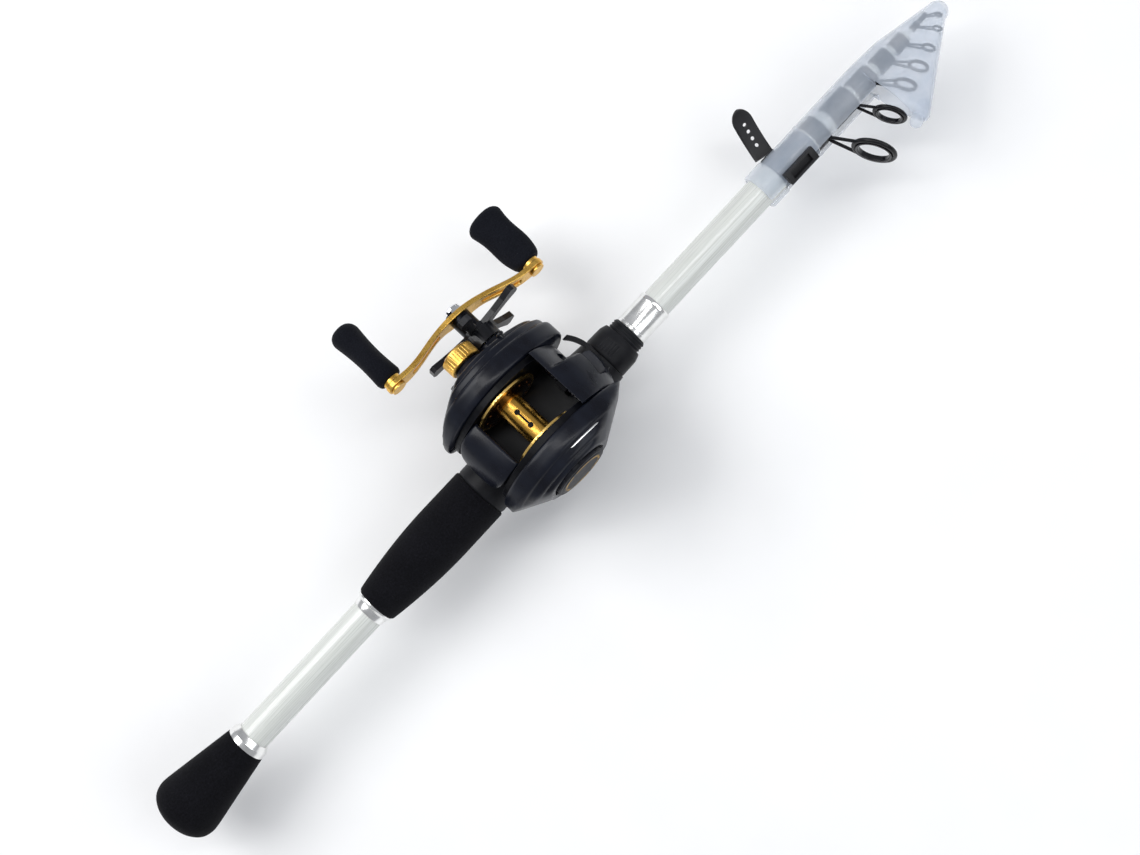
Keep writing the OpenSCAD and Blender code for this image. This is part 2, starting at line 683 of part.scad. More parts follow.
module worm_gear() color("#e8e6df") difference() {
    slab_y(gear_outline(worm_teeth, level_module, worm_angle + 180 + 180 / worm_teeth, worm_axis),
        17.6, 19.8);
    rod_y(worm_axis, 2.02, 15, 28);
}

module anti_reverse_bearing() color("#9aa0a6")
    tube_y(crank_axis, 6.48, 3 + run_gap, 28.8, 37.9);

// ---- level wind ----

module worm_shaft() color("#c8ccd2") {
    rod_y(worm_axis, 2, -16.6, 20.2);
    // crossed grooves, drawn as rings
    turn_y(worm_axis, concat([[1.9, -12.6]],
        [for (k = [-6 : 5], q = [[2.6, 0.2], [2.6, 1.3], [2.15, 1.5], [2.15, 1.9]])
            [q[0], 2.1 * k + q[1]]], [[1.9, 12.5]]));
}

module guide_pillar() color("silver") rod_y(pillar_axis, 1, -16.7, 16.7);

eye_z = worm_axis.y + 8.6;

module line_guide() color("#2b2b30") difference() {
    union() {
        block([worm_axis.x - 4, -3, pillar_axis.y - 2], [worm_axis.x + 4, 3, worm_axis.y + 4.4]);
        block([worm_axis.x - 1.8, -5, worm_axis.y + 3], [worm_axis.x + 1.8, 5, eye_z + 4.6]);
    }
    rod_y(worm_axis, 3, -10, 10);
    rod_y(pillar_axis, 1.35, -10, 10);
    // the eye that the line runs through
    translate([worm_axis.x - 5, 0, eye_z]) rotate([0, 90, 0]) cylinder(r = 2.7, h = 10);
}

// ---- crank side controls ----

module star_drag() color("#141416") difference() {
    union() {
        rod_y(crank_axis, 8.6, 40, 47);
        rod_y(crank_axis, 7.4, 46, 49.4);
        // five bent arms with flat pads at their ends
        for (k = [0 : 4]) translate([crank_axis.x, 0, crank_axis.y]) rotate([0, -72 * k - 18, 0]) {
            slab_y([[4, -3], [14, -2.1], [21, -2.4], [27, -3.4], [28.6, -2], [28.6, 2],
                [27, 3.4], [21, 2.4], [14, 2.1], [4, 3]], 46.4, 49.4);
        }
    }
    rod_y(crank_axis, 3.3, 35, 60);
}

// Height of the crank's middle line at a distance from its axle
function crank_y(u) = let (t = min(1, max(0, (abs(u) - 7) / 33)))
    crank_mid_y - crank_drop * (1 - cos(180 * t)) / 2;

// Half width of the crank at a distance from its axle: a wide hub, a waist and round ends
function crank_half_w(u) = let (a = abs(u), hub = 15)
    a < hub ? 4 + 2.4 * (1 + cos(180 * a / hub)) / 2
    : a < crank_reach ? 4 + 0.8 * (a - hub) / (crank_reach - hub)
    : sqrt(max(0, 4.8 * 4.8 - (a - crank_reach) * (a - crank_reach)));

module on_crank() translate([crank_axis.x, 0, crank_axis.y]) rotate([0, crank_turn, 0]) children();

module crank_arm() color("#d8a83a") on_crank() difference() {
    steps = 50;
    reach = crank_reach + 4.8;
    us = [for (i = [0 : steps]) reach * sin(90 * (2 * i / steps - 1))];
    intersection() {
        linear_extrude(20, center = true) polygon(concat(
            [for (u = us) [u, crank_y(u) - crank_t / 2]],
            [for (i = [steps : -1 : 0]) [us[i], crank_y(us[i]) + crank_t / 2]]));
        slab_y(concat([for (u = us) [u, -crank_half_w(u)]],
            [for (i = [steps - 1 : -1 : 1]) [us[i], crank_half_w(us[i])]]), 40, 66);
    }
    rod_y([0, 0], 2.25, 40, 70);
    for (side = [-1, 1]) {
        rod_y([side * crank_reach, 0], 2.52, 40, 70);
        // long cut-out in each half of the arm
        rod_y([side * 15, 0], 1.5, 40, 70);
        rod_y([side * 34, 0], 1.5, 40, 70);
        block([side > 0 ? 15 : -34, 40, -1.5], [side > 0 ? 34 : -15, 70, 1.5]);
    }
}

module handle_nut() color("#d7dadf") on_crank() difference() {
    union() {
        translate([0, crank_mid_y + 1.4, 0]) rotate([-90, 0, 0]) cylinder(r = 5, h = 1.8, $fn = 6);
        intersection() {
            rod_y([0, 0], 4.2, crank_mid_y + 3.1, crank_mid_y + 8);
            translate([0, crank_mid_y + 1.3, 0]) sphere(r = 5.2);
        }
    }
    rod_y([0, 0], 2.24, crank_mid_y, crank_mid_y + 4.5);
}

module knob_shafts() color("#c9ccd1") on_crank() for (side = [-1, 1]) {
    axle = [side * crank_reach, 0];
    rod_y(axle, 2.5, crank_end_y - crank_t, knob_base_y + knob_len - 5);
    // collars on both sides of the arm
    rod_y(axle, 3.8, crank_end_y - crank_t, crank_end_y - crank_t / 2 - 0.1);
    rod_y(axle, 4.4, crank_end_y + crank_t / 2 + 0.1, knob_base_y - 0.4);
}

// Half widths of a knob's wide and thin sides, from its base at 0 to its end at 1
function knob_wide(t) = 6.9 + 2.9 * t + 0.5 * sin(180 * t) + 0.67 * sin(360 * t);
function knob_thin(t) = 6.5 + 0.4 * t - 0.9 * sin(180 * t);

// A paddle knob: a turned body with two of its sides drawn flat
module knob(side, flat_turn) color("#141417") on_crank() translate([side * crank_reach, 0, 0])
    rotate([0, flat_turn - crank_turn, 0]) difference() {
        dome = 4.6;
        straight = knob_len - dome - 0.8;
        steps = 14;
        sides = [for (i = [0 : steps]) i / steps];
        intersection() {
            turn_y([0, 0], concat([[0, knob_base_y], [knob_wide(0) - 0.9, knob_base_y]],
                [for (t = sides) [knob_wide(t), knob_base_y + 0.8 + straight * t]],
                [for (a = [15 : 15 : 75])
                    [knob_wide(1) * cos(a), knob_base_y + knob_len - dome * (1 - sin(a))]],
                [[0, knob_base_y + knob_len]]));
            linear_extrude(40, center = true) polygon(concat(
                [for (t = sides) [-knob_thin(t), knob_base_y - 0.1 + (knob_len - 3) * t]],
                [[-4, knob_base_y + knob_len + 0.1], [4, knob_base_y + knob_len + 0.1]],
                [for (i = [steps : -1 : 0])
                    [knob_thin(sides[i]), knob_base_y - 0.1 + (knob_len - 3) * sides[i]]]));
        }
        rod_y([0, 0], 2.5 + run_gap, knob_base_y - 1, knob_base_y + knob_len - 4.6);
    }

module tension_cap() color("#d9a12b") difference() {
    turn_y(spool_axis, [[0, 45.6], [6.8, 45.6], [7.6, 45], [8.5, 44.6], [8.5, 38.2], [8.1, 37.6],
        [0, 37.6]]);
    rod_y(spool_axis, 6.55, 30, 43.4);
    // knurled rim
    for (k = [0 : 29])
        translate([spool_axis.x, 0, spool_axis.y]) rotate([0, 12 * k, 0]) translate([8.75, 38.8, 0])
            rotate([-90, 0, 0]) cylinder(r = 0.42, h = 5.2);
}

// ---- drawing ----

butt_cap();
butt_plug();
butt_winding_check();
rod_blank();
grip_winding_check();
rear_grip();
reel_seat();
seat_hood();
lock_nut();
front_ferrule();
blank_end_wrap();
section(0);  // section_1
section(1);  // section_2
section(2);  // section_3
section(3);  // section_4
section(4);  // section_5
section_tip();  // section_6
guide_1_frame();
guide_1_ring();
guide_2_frame();
guide_2_ring();
guide_3();
guide_4();
guide_5();
guide_6();
tip_top();
tip_cover();
strap_tail();
strap_buckle();
reel_foot();
reel_frame();
handle_side_plate();
palm_side_plate();
front_cowling();
spool();
spool_shaft();
spool_bearings();
pinion_gear();
clutch_yoke();
thumb_bar();
clutch_spring();
drive_shaft();
drive_gear();
drag_washers();
level_wind_gear();
anti_reverse_bearing();
star_drag();
crank_arm();
handle_nut();
knob_shafts();
knob(-1, 0);  // rear_knob
knob(1, 90);  // front_knob
tension_cap();
brake_dial();
worm_shaft();
worm_gear();
line_guide();
guide_pillar();
side_plate_screws();
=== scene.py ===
"""Looks of a closed telescopic casting rod with a low-profile baitcasting reel.

Shapes are in millimetres until they go into a mesh, and MM turns them into metres. Lights
and the camera are in metres. +X runs to the rod's tip, +Z is the reel's side and +Y is the
handle side.
"""
import json
import math

import bmesh
import bpy
import numpy as np
from mathutils import Matrix, Vector


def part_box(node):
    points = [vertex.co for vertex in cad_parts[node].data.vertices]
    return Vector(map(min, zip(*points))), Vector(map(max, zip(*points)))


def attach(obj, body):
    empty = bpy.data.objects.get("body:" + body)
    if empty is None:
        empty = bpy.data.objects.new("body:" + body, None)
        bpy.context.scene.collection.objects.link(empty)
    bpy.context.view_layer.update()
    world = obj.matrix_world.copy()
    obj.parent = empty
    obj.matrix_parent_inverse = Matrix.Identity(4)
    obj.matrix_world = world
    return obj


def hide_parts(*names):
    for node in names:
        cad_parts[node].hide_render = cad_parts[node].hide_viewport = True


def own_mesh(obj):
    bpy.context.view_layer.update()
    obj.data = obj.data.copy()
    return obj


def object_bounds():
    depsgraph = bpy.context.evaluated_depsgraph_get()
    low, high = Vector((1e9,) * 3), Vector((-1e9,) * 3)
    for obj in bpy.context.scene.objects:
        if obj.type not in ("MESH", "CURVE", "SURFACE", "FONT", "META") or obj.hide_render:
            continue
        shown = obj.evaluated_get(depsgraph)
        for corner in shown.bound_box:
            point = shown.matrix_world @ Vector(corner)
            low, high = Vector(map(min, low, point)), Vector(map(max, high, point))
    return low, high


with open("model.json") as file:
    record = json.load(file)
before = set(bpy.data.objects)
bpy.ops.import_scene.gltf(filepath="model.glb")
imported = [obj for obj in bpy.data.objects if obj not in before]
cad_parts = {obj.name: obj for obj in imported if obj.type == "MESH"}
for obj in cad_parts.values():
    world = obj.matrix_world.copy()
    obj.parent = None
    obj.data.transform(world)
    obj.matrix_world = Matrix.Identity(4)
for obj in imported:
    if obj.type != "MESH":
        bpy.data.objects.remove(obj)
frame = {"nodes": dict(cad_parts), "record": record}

CAD_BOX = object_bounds()
MM = 0.001
SCENE = bpy.context.scene
BODY_OF = {
    node: body
    for body, nodes in frame["record"]["behaviour"]["bodies"].items()
    for node in nodes
}
SLOT_OF = {part["node"]: part["material_slot"] for part in frame["record"]["subparts"]}


def low_mm(node):
    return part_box(node)[0] / MM


def high_mm(node):
    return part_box(node)[1] / MM


def middle_mm(node):
    return (low_mm(node) + high_mm(node)) / 2


SPOOL = middle_mm("spool")
SPOOL_AXIS = (SPOOL.x, SPOOL.z)
CRANK = middle_mm("drive_gear")
CRANK_AXIS = (CRANK.x, CRANK.z)


# ---------------------------------------------------------------- materials


class Finish:
    """One material: a Principled shader and short calls for the nodes that feed it."""

    def __init__(self, name, **sockets):
        self.material = bpy.data.materials.new(name)
        self.material.use_nodes = True
        self.nodes = self.material.node_tree.nodes
        self.links = self.material.node_tree.links
        self.shader = self.nodes["Principled BSDF"]
        for socket, value in sockets.items():
            label = socket.replace("_", " ").title().replace("Ior", "IOR")
            self.shader.inputs[label].default_value = value
        self.place = self.nodes.new("ShaderNodeTexCoord").outputs["Object"]

    def add(self, kind, inputs, **settings):
        node = self.nodes.new(kind)
        for key, value in settings.items():
            setattr(node, key, value)
        for key, value in inputs.items():
            if isinstance(value, bpy.types.NodeSocket):
                self.links.new(value, node.inputs[key])
            else:
                node.inputs[key].default_value = value
        return node

    def stretched(self, stretch):
        if stretch == (1, 1, 1):
            return self.place
        return self.add("ShaderNodeMapping", {"Vector": self.place, "Scale": stretch}).outputs[0]

    def noise(self, size_mm, detail=3.0, stretch=(1, 1, 1)):
        """Noise whose features are about size_mm across"""
        return self.add("ShaderNodeTexNoise", {
            "Vector": self.stretched(stretch), "Scale": 1 / (size_mm * MM), "Detail": detail,
        }).outputs["Fac"]

    def cells(self, size_mm):
        return self.add("ShaderNodeTexVoronoi", {
            "Vector": self.place, "Scale": 1 / (size_mm * MM),
        }).outputs["Distance"]

    def bands(self, pitch_mm):
        """Bands across the rod, a pitch apart"""
        return self.add("ShaderNodeTexWave", {
            "Vector": self.place, "Scale": math.pi / (10 * pitch_mm * MM), "Distortion": 0.4,
            "Detail": 1.0,
        }, bands_direction="X").outputs["Fac"]

    def spread(self, fac, low, high, to_low=0.0, to_high=1.0):
        return self.add("ShaderNodeMapRange", {
            "Value": fac, "From Min": low, "From Max": high, "To Min": to_low, "To Max": to_high,
        }).outputs["Result"]

    def ramp(self, fac, *stops):
        node = self.add("ShaderNodeValToRGB", {"Fac": fac})
        elements = node.color_ramp.elements
        while len(elements) < len(stops):
            elements.new(0.5)
        for element, (at, colour) in zip(elements, stops):
            element.position = at
            element.color = (*colour, 1)
        return node.outputs["Color"]

    def mix(self, fac, a, b):
        """One colour into another, through the colour sockets of a Mix node"""
        node = self.add("ShaderNodeMix", {}, data_type="RGBA")
        for index, value in ((0, fac), (6, a), (7, b)):
            if isinstance(value, bpy.types.NodeSocket):
                self.links.new(value, node.inputs[index])
            elif index == 0:
                node.inputs[index].default_value = value
            else:
                node.inputs[index].default_value = (*value, 1)
        return node.outputs[2]

    def add_up(self, a, b, share=1.0):
        """One value plus a share of another"""
        scaled = self.add("ShaderNodeMath", {0: b, 1: share}, operation="MULTIPLY").outputs[0]
        return self.add("ShaderNodeMath", {0: a, 1: scaled}, operation="ADD").outputs[0]

    def edges(self, radius_mm):
        """1 along sharp edges and 0 on plain faces; it marks both rubbing wear and painted
        highlight along the edges
        """
        rounded = self.add("ShaderNodeBevel", {"Radius": radius_mm * MM}, samples=4).outputs[0]
        plain = self.nodes.new("ShaderNodeNewGeometry").outputs["Normal"]
        dot = self.add("ShaderNodeVectorMath", {0: rounded, 1: plain}, operation="DOT_PRODUCT")
        return self.spread(dot.outputs["Value"], 0.99, 0.82)

    def radius_from_spool(self):
        """Distance from the spool's axis"""
        from_axle = self.add("ShaderNodeVectorMath", {
            0: self.place, 1: (SPOOL_AXIS[0] * MM, 0, SPOOL_AXIS[1] * MM)}, operation="SUBTRACT")
        flat = self.add("ShaderNodeVectorMath", {0: from_axle.outputs[0], 1: (1, 0, 1)},
                        operation="MULTIPLY")
        length = self.add("ShaderNodeVectorMath", {0: flat.outputs[0]}, operation="LENGTH")
        return length.outputs["Value"]

    def colour(self, socket):
        self.links.new(socket, self.shader.inputs["Base Color"])

    def roughness(self, fac, low, high):
        self.links.new(self.spread(fac, 0.3, 0.7, low, high), self.shader.inputs["Roughness"])

    def bump(self, height, strength, depth_mm, round_mm=0.0):
        inputs = {"Height": height, "Strength": strength, "Distance": depth_mm * MM}
        if round_mm:
            inputs["Normal"] = self.add(
                "ShaderNodeBevel", {"Radius": round_mm * MM}, samples=4).outputs[0]
        self.links.new(self.add("ShaderNodeBump", inputs).outputs[0], self.shader.inputs["Normal"])


def foam(name, dark, light, pore_mm):
    """Closed-cell foam, matt, with fine pores and pale dust in some of them"""
    f = Finish(name, sheen_weight=0.03, sheen_roughness=0.5, specular_ior_level=0.08)
    grain = f.noise(pore_mm * 1.6, 5.0)
    pores = f.cells(pore_mm)
    cloud = f.noise(14, 2.0)
    body = f.mix(f.spread(cloud, 0.35, 0.65), f.ramp(grain, (0.3, dark), (0.75, light)),
                 f.ramp(grain, (0.35, dark), (0.9, light)))
    specks = f.spread(f.noise(0.55, 1.0), 0.76, 0.82, 0, 0.08)
    f.colour(f.mix(specks, body, (0.3, 0.3, 0.31)))
    f.roughness(grain, 0.82, 0.98)
    f.bump(f.add_up(grain, pores, 0.8), 0.55, 0.16)
    return f.material


def plastic(name, dark, light, rough, coat, grain_mm, depth_mm, worn=(0.035, 0.037, 0.043),
            gloss=0.35):
    """Moulded or painted black: fine grain, faint smears, and paler edges that are partly rubbing
    wear and partly painted highlight
    """
    f = Finish(name, coat_weight=coat, coat_roughness=0.12, specular_ior_level=gloss)
    smears = f.noise(9, 4.0, (1, 0.6, 1.4))
    body = f.ramp(smears, (0.3, dark), (0.7, light))
    # painted highlight and rubbing wear: sharp edges are made paler than the faces
    f.colour(f.mix(f.spread(f.edges(0.35), 0, 1, 0, 0.65), body, worn))
    f.roughness(smears, rough[0], rough[1])
    f.bump(f.noise(grain_mm, 3.0), 0.35, depth_mm, round_mm=0.3)
    return f.material


def metal(name, dark, light, rough, grain_stretch=(1, 1, 1), edge_wear_and_highlight=None, grain_mm=0.35,
          grain_bump=0.12, round_mm=0.25):
    """Bare or anodised metal with a fine grain and slow changes of tone"""
    f = Finish(name, metallic=1.0)
    grain = f.noise(grain_mm, 4.0, grain_stretch)
    tone = f.noise(5, 2.0)
    body = f.ramp(tone, (0.3, dark), (0.7, light))
    # painted highlight and rubbing wear: sharp edges are made lighter than the faces
    if edge_wear_and_highlight:
        body = f.mix(f.spread(f.edges(0.25), 0, 1, 0, 0.8), body, edge_wear_and_highlight)
    f.colour(body)
    f.roughness(f.add_up(grain, tone, 0.3), rough[0], rough[1])
    f.bump(grain, grain_bump, 0.02, round_mm=round_mm)
    return f.material


def spool_gold_painted_light():
    """Anodised gold, with painted shade darkening the flanges' faces and a painted highlight on
    their rims; the arbor stays bright
    """
    f = Finish("spool_gold_painted_light", metallic=1.0)
    place = f.spread(f.radius_from_spool(), 0, flange_mm() * MM)
    grain = f.noise(0.3, 4.0, (1, 0.2, 1))
    # painted shade over the flanges' faces and a painted highlight at their rims, set by distance
    # from the spool's axis
    body = f.ramp(place, (0.30, (0.80, 0.47, 0.09)), (0.42, (0.62, 0.33, 0.06)),
                  (0.52, (0.07, 0.026, 0.009)), (0.86, (0.10, 0.038, 0.012)),
                  (0.93, (1.0, 0.66, 0.20)))
    f.colour(f.mix(f.spread(grain, 0.3, 0.7, 0, 0.35), body, f.mix(0.5, body, (0, 0, 0))))
    f.roughness(grain, 0.2, 0.32)
    f.bump(grain, 0.05, 0.02, round_mm=0.2)
    return f.material


def flange_mm():
    return (high_mm("spool").x - low_mm("spool").x) / 2


def glass_fibre():
    """Milky translucent tube, with glass strands running lengthwise under the varnish"""
    f = Finish("glass_fibre", subsurface_weight=0.35, subsurface_scale=0.004, coat_weight=0.45,
               coat_roughness=0.12)
    f.shader.inputs["Subsurface Radius"].default_value = (1.0, 1.0, 0.95)
    strands = f.noise(0.5, 4.0, (0.012, 1, 1))
    clouds = f.noise(10, 3.0, (0.35, 1, 1))
    f.colour(f.mix(f.spread(clouds, 0.3, 0.7, 0.1, 0.6),
                   f.ramp(strands, (0.3, (0.56, 0.58, 0.54)), (0.7, (0.78, 0.80, 0.76))),
                   (0.70, 0.72, 0.68)))
    f.roughness(strands, 0.22, 0.36)
    f.bump(strands, 0.12, 0.05)
    return f.material


def thread_wrap():
    f = Finish("thread_wrap", coat_weight=0.8, coat_roughness=0.06)
    threads = f.bands(0.22)
    f.colour(f.ramp(threads, (0.2, (0.035, 0.055, 0.085)), (0.8, (0.10, 0.135, 0.18))))
    f.roughness(threads, 0.35, 0.5)
    f.bump(threads, 0.4, 0.05)
    return f.material


def clear_cover():
    """Frosted clear plastic: light passes, and what is inside shows soft"""
    f = Finish("clear_cover", transmission_weight=0.3, ior=1.2, coat_weight=0.35,
               coat_roughness=0.12, alpha=0.36)
    frost = f.noise(0.5, 4.0)
    clouds = f.noise(11, 3.0)
    f.colour(f.ramp(clouds, (0.3, (0.58, 0.65, 0.75)), (0.7, (0.76, 0.81, 0.89))))
    f.roughness(f.add_up(frost, clouds, 0.4), 0.32, 0.5)
    f.bump(frost, 0.25, 0.05)
    return f.material


BLACK = (0.0035, 0.0037, 0.005)
MATERIALS = {
    "eva_foam": foam("eva_foam", (0.002, 0.002, 0.003), (0.009, 0.009, 0.012), 0.5),
    "knob_foam": foam("knob_foam", (0.003, 0.0035, 0.006), (0.012, 0.013, 0.018), 0.35),
    "polished_trim": metal("polished_trim", (0.80, 0.80, 0.78), (0.93, 0.93, 0.92),
                           (0.14, 0.22), (1, 0.05, 0.05), grain_mm=0.6, grain_bump=0.015,
                           round_mm=0),
    "glass_fibre": glass_fibre(),
    "seat_plastic": plastic("seat_plastic", BLACK, (0.014, 0.0145, 0.017), (0.36, 0.5), 0.0,
                            0.25, 0.03, gloss=0.12),
    "thread_wrap": thread_wrap(),
    "guide_metal": plastic("guide_metal", BLACK, (0.007, 0.007, 0.009), (0.22, 0.34), 0.1,
                           0.4, 0.01, worn=(0.02, 0.02, 0.023), gloss=0.2),
    "guide_ceramic": plastic("guide_ceramic", (0.004, 0.004, 0.006), (0.012, 0.012, 0.015),
                             (0.12, 0.2), 0.2, 0.6, 0.004, worn=(0.02, 0.02, 0.023), gloss=0.3),
    "clear_cover": clear_cover(),
    "strap_rubber": plastic("strap_rubber", (0.005, 0.005, 0.006), (0.013, 0.013, 0.015),
                            (0.45, 0.62), 0.0, 0.3, 0.04),
    "reel_frame_metal": plastic("reel_frame_metal", (0.001, 0.001, 0.0015), (0.005, 0.0055, 0.008),
                                (0.3, 0.42), 0.0, 0.3, 0.015, gloss=0.12),
    "reel_shell": plastic("reel_shell", (0.003, 0.0035, 0.007), (0.006, 0.008, 0.015),
                          (0.24, 0.36), 0.06, 0.5, 0.012, worn=(0.04, 0.045, 0.06),
                          gloss=0.2),
    "black_metal": plastic("black_metal", BLACK, (0.010, 0.0105, 0.014),
                           (0.24, 0.36), 0.1, 0.3, 0.012, gloss=0.25),
    "gold_metal": metal("gold_metal", (0.72, 0.40, 0.07), (0.90, 0.56, 0.13), (0.16, 0.32),
                        (1, 0.3, 1), edge_wear_and_highlight=(1.0, 0.80, 0.42), grain_bump=0.06),
    "steel": metal("steel", (0.45, 0.46, 0.48), (0.62, 0.63, 0.65), (0.2, 0.34)),
    "chrome_nut": metal("chrome_nut", (0.78, 0.79, 0.80), (0.93, 0.93, 0.94), (0.05, 0.14),
                        grain_bump=0.02, round_mm=0),
    "brass_gear": metal("brass_gear", (0.62, 0.44, 0.16), (0.78, 0.58, 0.25), (0.25, 0.4)),
    "nylon_gear": plastic("nylon_gear", (0.60, 0.58, 0.52), (0.72, 0.70, 0.64), (0.4, 0.55),
                          0.0, 0.3, 0.02, worn=(0.8, 0.79, 0.75)),
    "black_plastic": plastic("black_plastic", BLACK, (0.009, 0.009, 0.011), (0.45, 0.6), 0.0,
                             0.3, 0.02, worn=(0.012, 0.012, 0.014), gloss=0.08),
    "drag_fibre": foam("drag_fibre", (0.05, 0.04, 0.034), (0.11, 0.09, 0.075), 0.3),
}


# the dark stretch starts just short of the drive shaft's sleeve
DARK_FROM = 49.6
DARK_FADE = 0.2


def sleeved_steel():
    """Ground steel that carries a black sleeve over its outer stretch"""
    f = Finish("sleeved_steel", metallic=1.0)
    grain = f.noise(0.3, 4.0, (1, 0.2, 1))
    y = f.add("ShaderNodeSeparateXYZ", {0: f.place}).outputs["Y"]
    sleeve = f.spread(y, DARK_FROM * MM, (DARK_FROM + DARK_FADE) * MM)
    f.colour(f.mix(sleeve, f.ramp(grain, (0.3, (0.45, 0.46, 0.48)), (0.7, (0.62, 0.63, 0.65))),
                   f.ramp(grain, (0.3, (0.008, 0.008, 0.01)), (0.7, (0.02, 0.021, 0.026)))))
    f.roughness(grain, 0.24, 0.38)
    f.bump(grain, 0.1, 0.02)
    return f.material


def dial_black():
    """The brake dial: black, with a worn gold line round its face"""
    f = Finish("dial_black", specular_ior_level=0.12)
    full_r = 12
    share = f.spread(f.radius_from_spool(), 0, full_r * MM)
    smears = f.noise(2.5, 4.0)
    black = f.ramp(smears, (0.3, BLACK), (0.7, (0.009, 0.01, 0.015)))
    line = f.ramp(share, (0.80, (0, 0, 0)), (0.83, (1, 1, 1)), (0.90, (1, 1, 1)),
                  (0.93, (0, 0, 0)))
    worn = f.spread(smears, 0.42, 0.5)
    both = f.add("ShaderNodeMath", {0: line, 1: worn}, operation="MULTIPLY").outputs[0]
    f.colour(f.mix(both, black, (0.42, 0.25, 0.05)))
    f.roughness(smears, 0.38, 0.5)
    f.bump(f.noise(0.5, 3.0), 0.3, 0.012, round_mm=0.3)
    return f.material


# nodes whose look differs from their material slot's
LOOKS = {
    "spool": spool_gold_painted_light(),
    "drive_shaft": sleeved_steel(),
    "side_plate_screws": MATERIALS["black_metal"],
    "knob_shafts": MATERIALS["gold_metal"],
    "brake_dial": dial_black(),
}

# ---------------------------------------------------------------- mesh helpers


SAME_POINT = 0.002


def mesh_in_metres(name, points, faces):
    mesh = bpy.data.meshes.new(name)
    mesh.from_pydata([tuple(c * MM for c in p) for p in points], [], faces)
    return mesh


def clean_mesh(name, points, faces):
    """A mesh from points in millimetres, welded and with its faces turned outward"""
    mesh = mesh_in_metres(name, points, faces)
    bm = bmesh.new()
    bm.from_mesh(mesh)
    bmesh.ops.remove_doubles(bm, verts=bm.verts, dist=SAME_POINT * MM)
    bmesh.ops.recalc_face_normals(bm, faces=bm.faces)
    bm.to_mesh(mesh)
    bm.free()
    return mesh


def piece(name, points, faces, slot, body, replaced=(), sharp_deg=38):
    """A mesh object from points in millimetres, riding on a body"""
    mesh = clean_mesh(name, points, faces)
    mesh.shade_smooth()
    mesh.set_sharp_from_angle(angle=math.radians(sharp_deg))
    mesh.materials.append(MATERIALS[slot])
    obj = bpy.data.objects.new(name, mesh)
    SCENE.collection.objects.link(obj)
    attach(obj, body)
    if replaced:
        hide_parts(*replaced)
    return obj


def loft(rings, close_first=True, close_last=True):
    """Points and faces of a surface over rings of equal length"""
    count = len(rings[0])
    points = [tuple(p) for ring in rings for p in ring]
    faces = []
    for i in range(len(rings) - 1):
        for k in range(count):
            a, b = i * count + k, i * count + (k + 1) % count
            faces.append((a, b, b + count, a + count))
    for wanted, start in ((close_first, 0), (close_last, (len(rings) - 1) * count)):
        if wanted:
            centre = np.mean(points[start:start + count], axis=0)
            points.append(tuple(centre))
            faces += [(start + k, start + (k + 1) % count, len(points) - 1) for k in range(count)]
    return points, faces


def joined(*parts):
    """Several point and face lists as one"""
    points, faces = [], []
    for more_points, more_faces in parts:
        faces += [tuple(i + len(points) for i in face) for face in more_faces]
        points += more_points
    return points, faces


def catmull(a, b, c, d, t):
    a, b, c, d = (np.asarray(p, float) for p in (a, b, c, d))
    return (2 * b + (c - a) * t + (2 * a - 5 * b + 4 * c - d) * t ** 2
            + (3 * b - a - 3 * c + d) * t ** 3) / 2


def closed_curve(points, steps=8):
    n = len(points)
    return [catmull(points[i - 1], points[i], points[(i + 1) % n], points[(i + 2) % n], k / steps)
            for i in range(n) for k in range(steps)]


def open_curve(points, steps=6):
    padded = [points[0], *points, points[-1]]
    curve = [catmull(*padded[i:i + 4], k / steps)
             for i in range(len(points) - 1) for k in range(steps)]
    return curve + [np.asarray(points[-1], float)]


def circle_angles(count):
    return [2 * math.pi * k / count for k in range(count)]


def squared(value, power):
    """A sine or cosine pushed outward, for a circle with flattened sides"""
    return abs(value) ** power * math.copysign(1, value)


def turned_x(profile, count=96):
    """A profile of (station, radius) turned about the rod's axis"""
    return loft([[(x, r * math.cos(a), r * math.sin(a)) for a in circle_angles(count)]
                 for x, r in profile], False, False)


def turned_y(axis, profile, count=72):
    """A profile of (y, radius) turned about an axle at (x, z)"""
    return loft([[(axis[0] + r * math.cos(a), y, axis[1] + r * math.sin(a))
                  for a in circle_angles(count)] for y, r in profile], False, False)


def applied(obj):
    """Bakes an object's modifiers into its mesh"""
    depsgraph = bpy.context.evaluated_depsgraph_get()
    mesh = bpy.data.meshes.new_from_object(obj.evaluated_get(depsgraph))
    obj.modifiers.clear()
    obj.data = mesh
    return obj


def cut(obj, cutter_points, cutter_faces):
    """Cuts a closed mesh out of an object"""
    cutter = bpy.data.objects.new("cutter", clean_mesh("cutter", cutter_points, cutter_faces))
    SCENE.collection.objects.link(cutter)
    modifier = obj.modifiers.new("cut", "BOOLEAN")
    modifier.operation = "DIFFERENCE"
    modifier.solver = "EXACT"
    modifier.object = cutter
    bpy.context.view_layer.update()
    applied(obj)
    bpy.data.objects.remove(cutter)
    return obj


def softened(obj, width_mm=0.3, segments=2, angle_deg=32):
    """Rounds an object's sharp edges"""
    bevel = obj.modifiers.new("rounded", "BEVEL")
    bevel.width = width_mm * MM
    bevel.segments = segments
    bevel.limit_method = "ANGLE"
    bevel.angle_limit = math.radians(angle_deg)
    bevel.harden_normals = False
    bevel.use_clamp_overlap = True
    normals = obj.modifiers.new("normals", "WEIGHTED_NORMAL")
    normals.keep_sharp = True
    return obj


# ---------------------------------------------------------------- carried-over CAD nodes

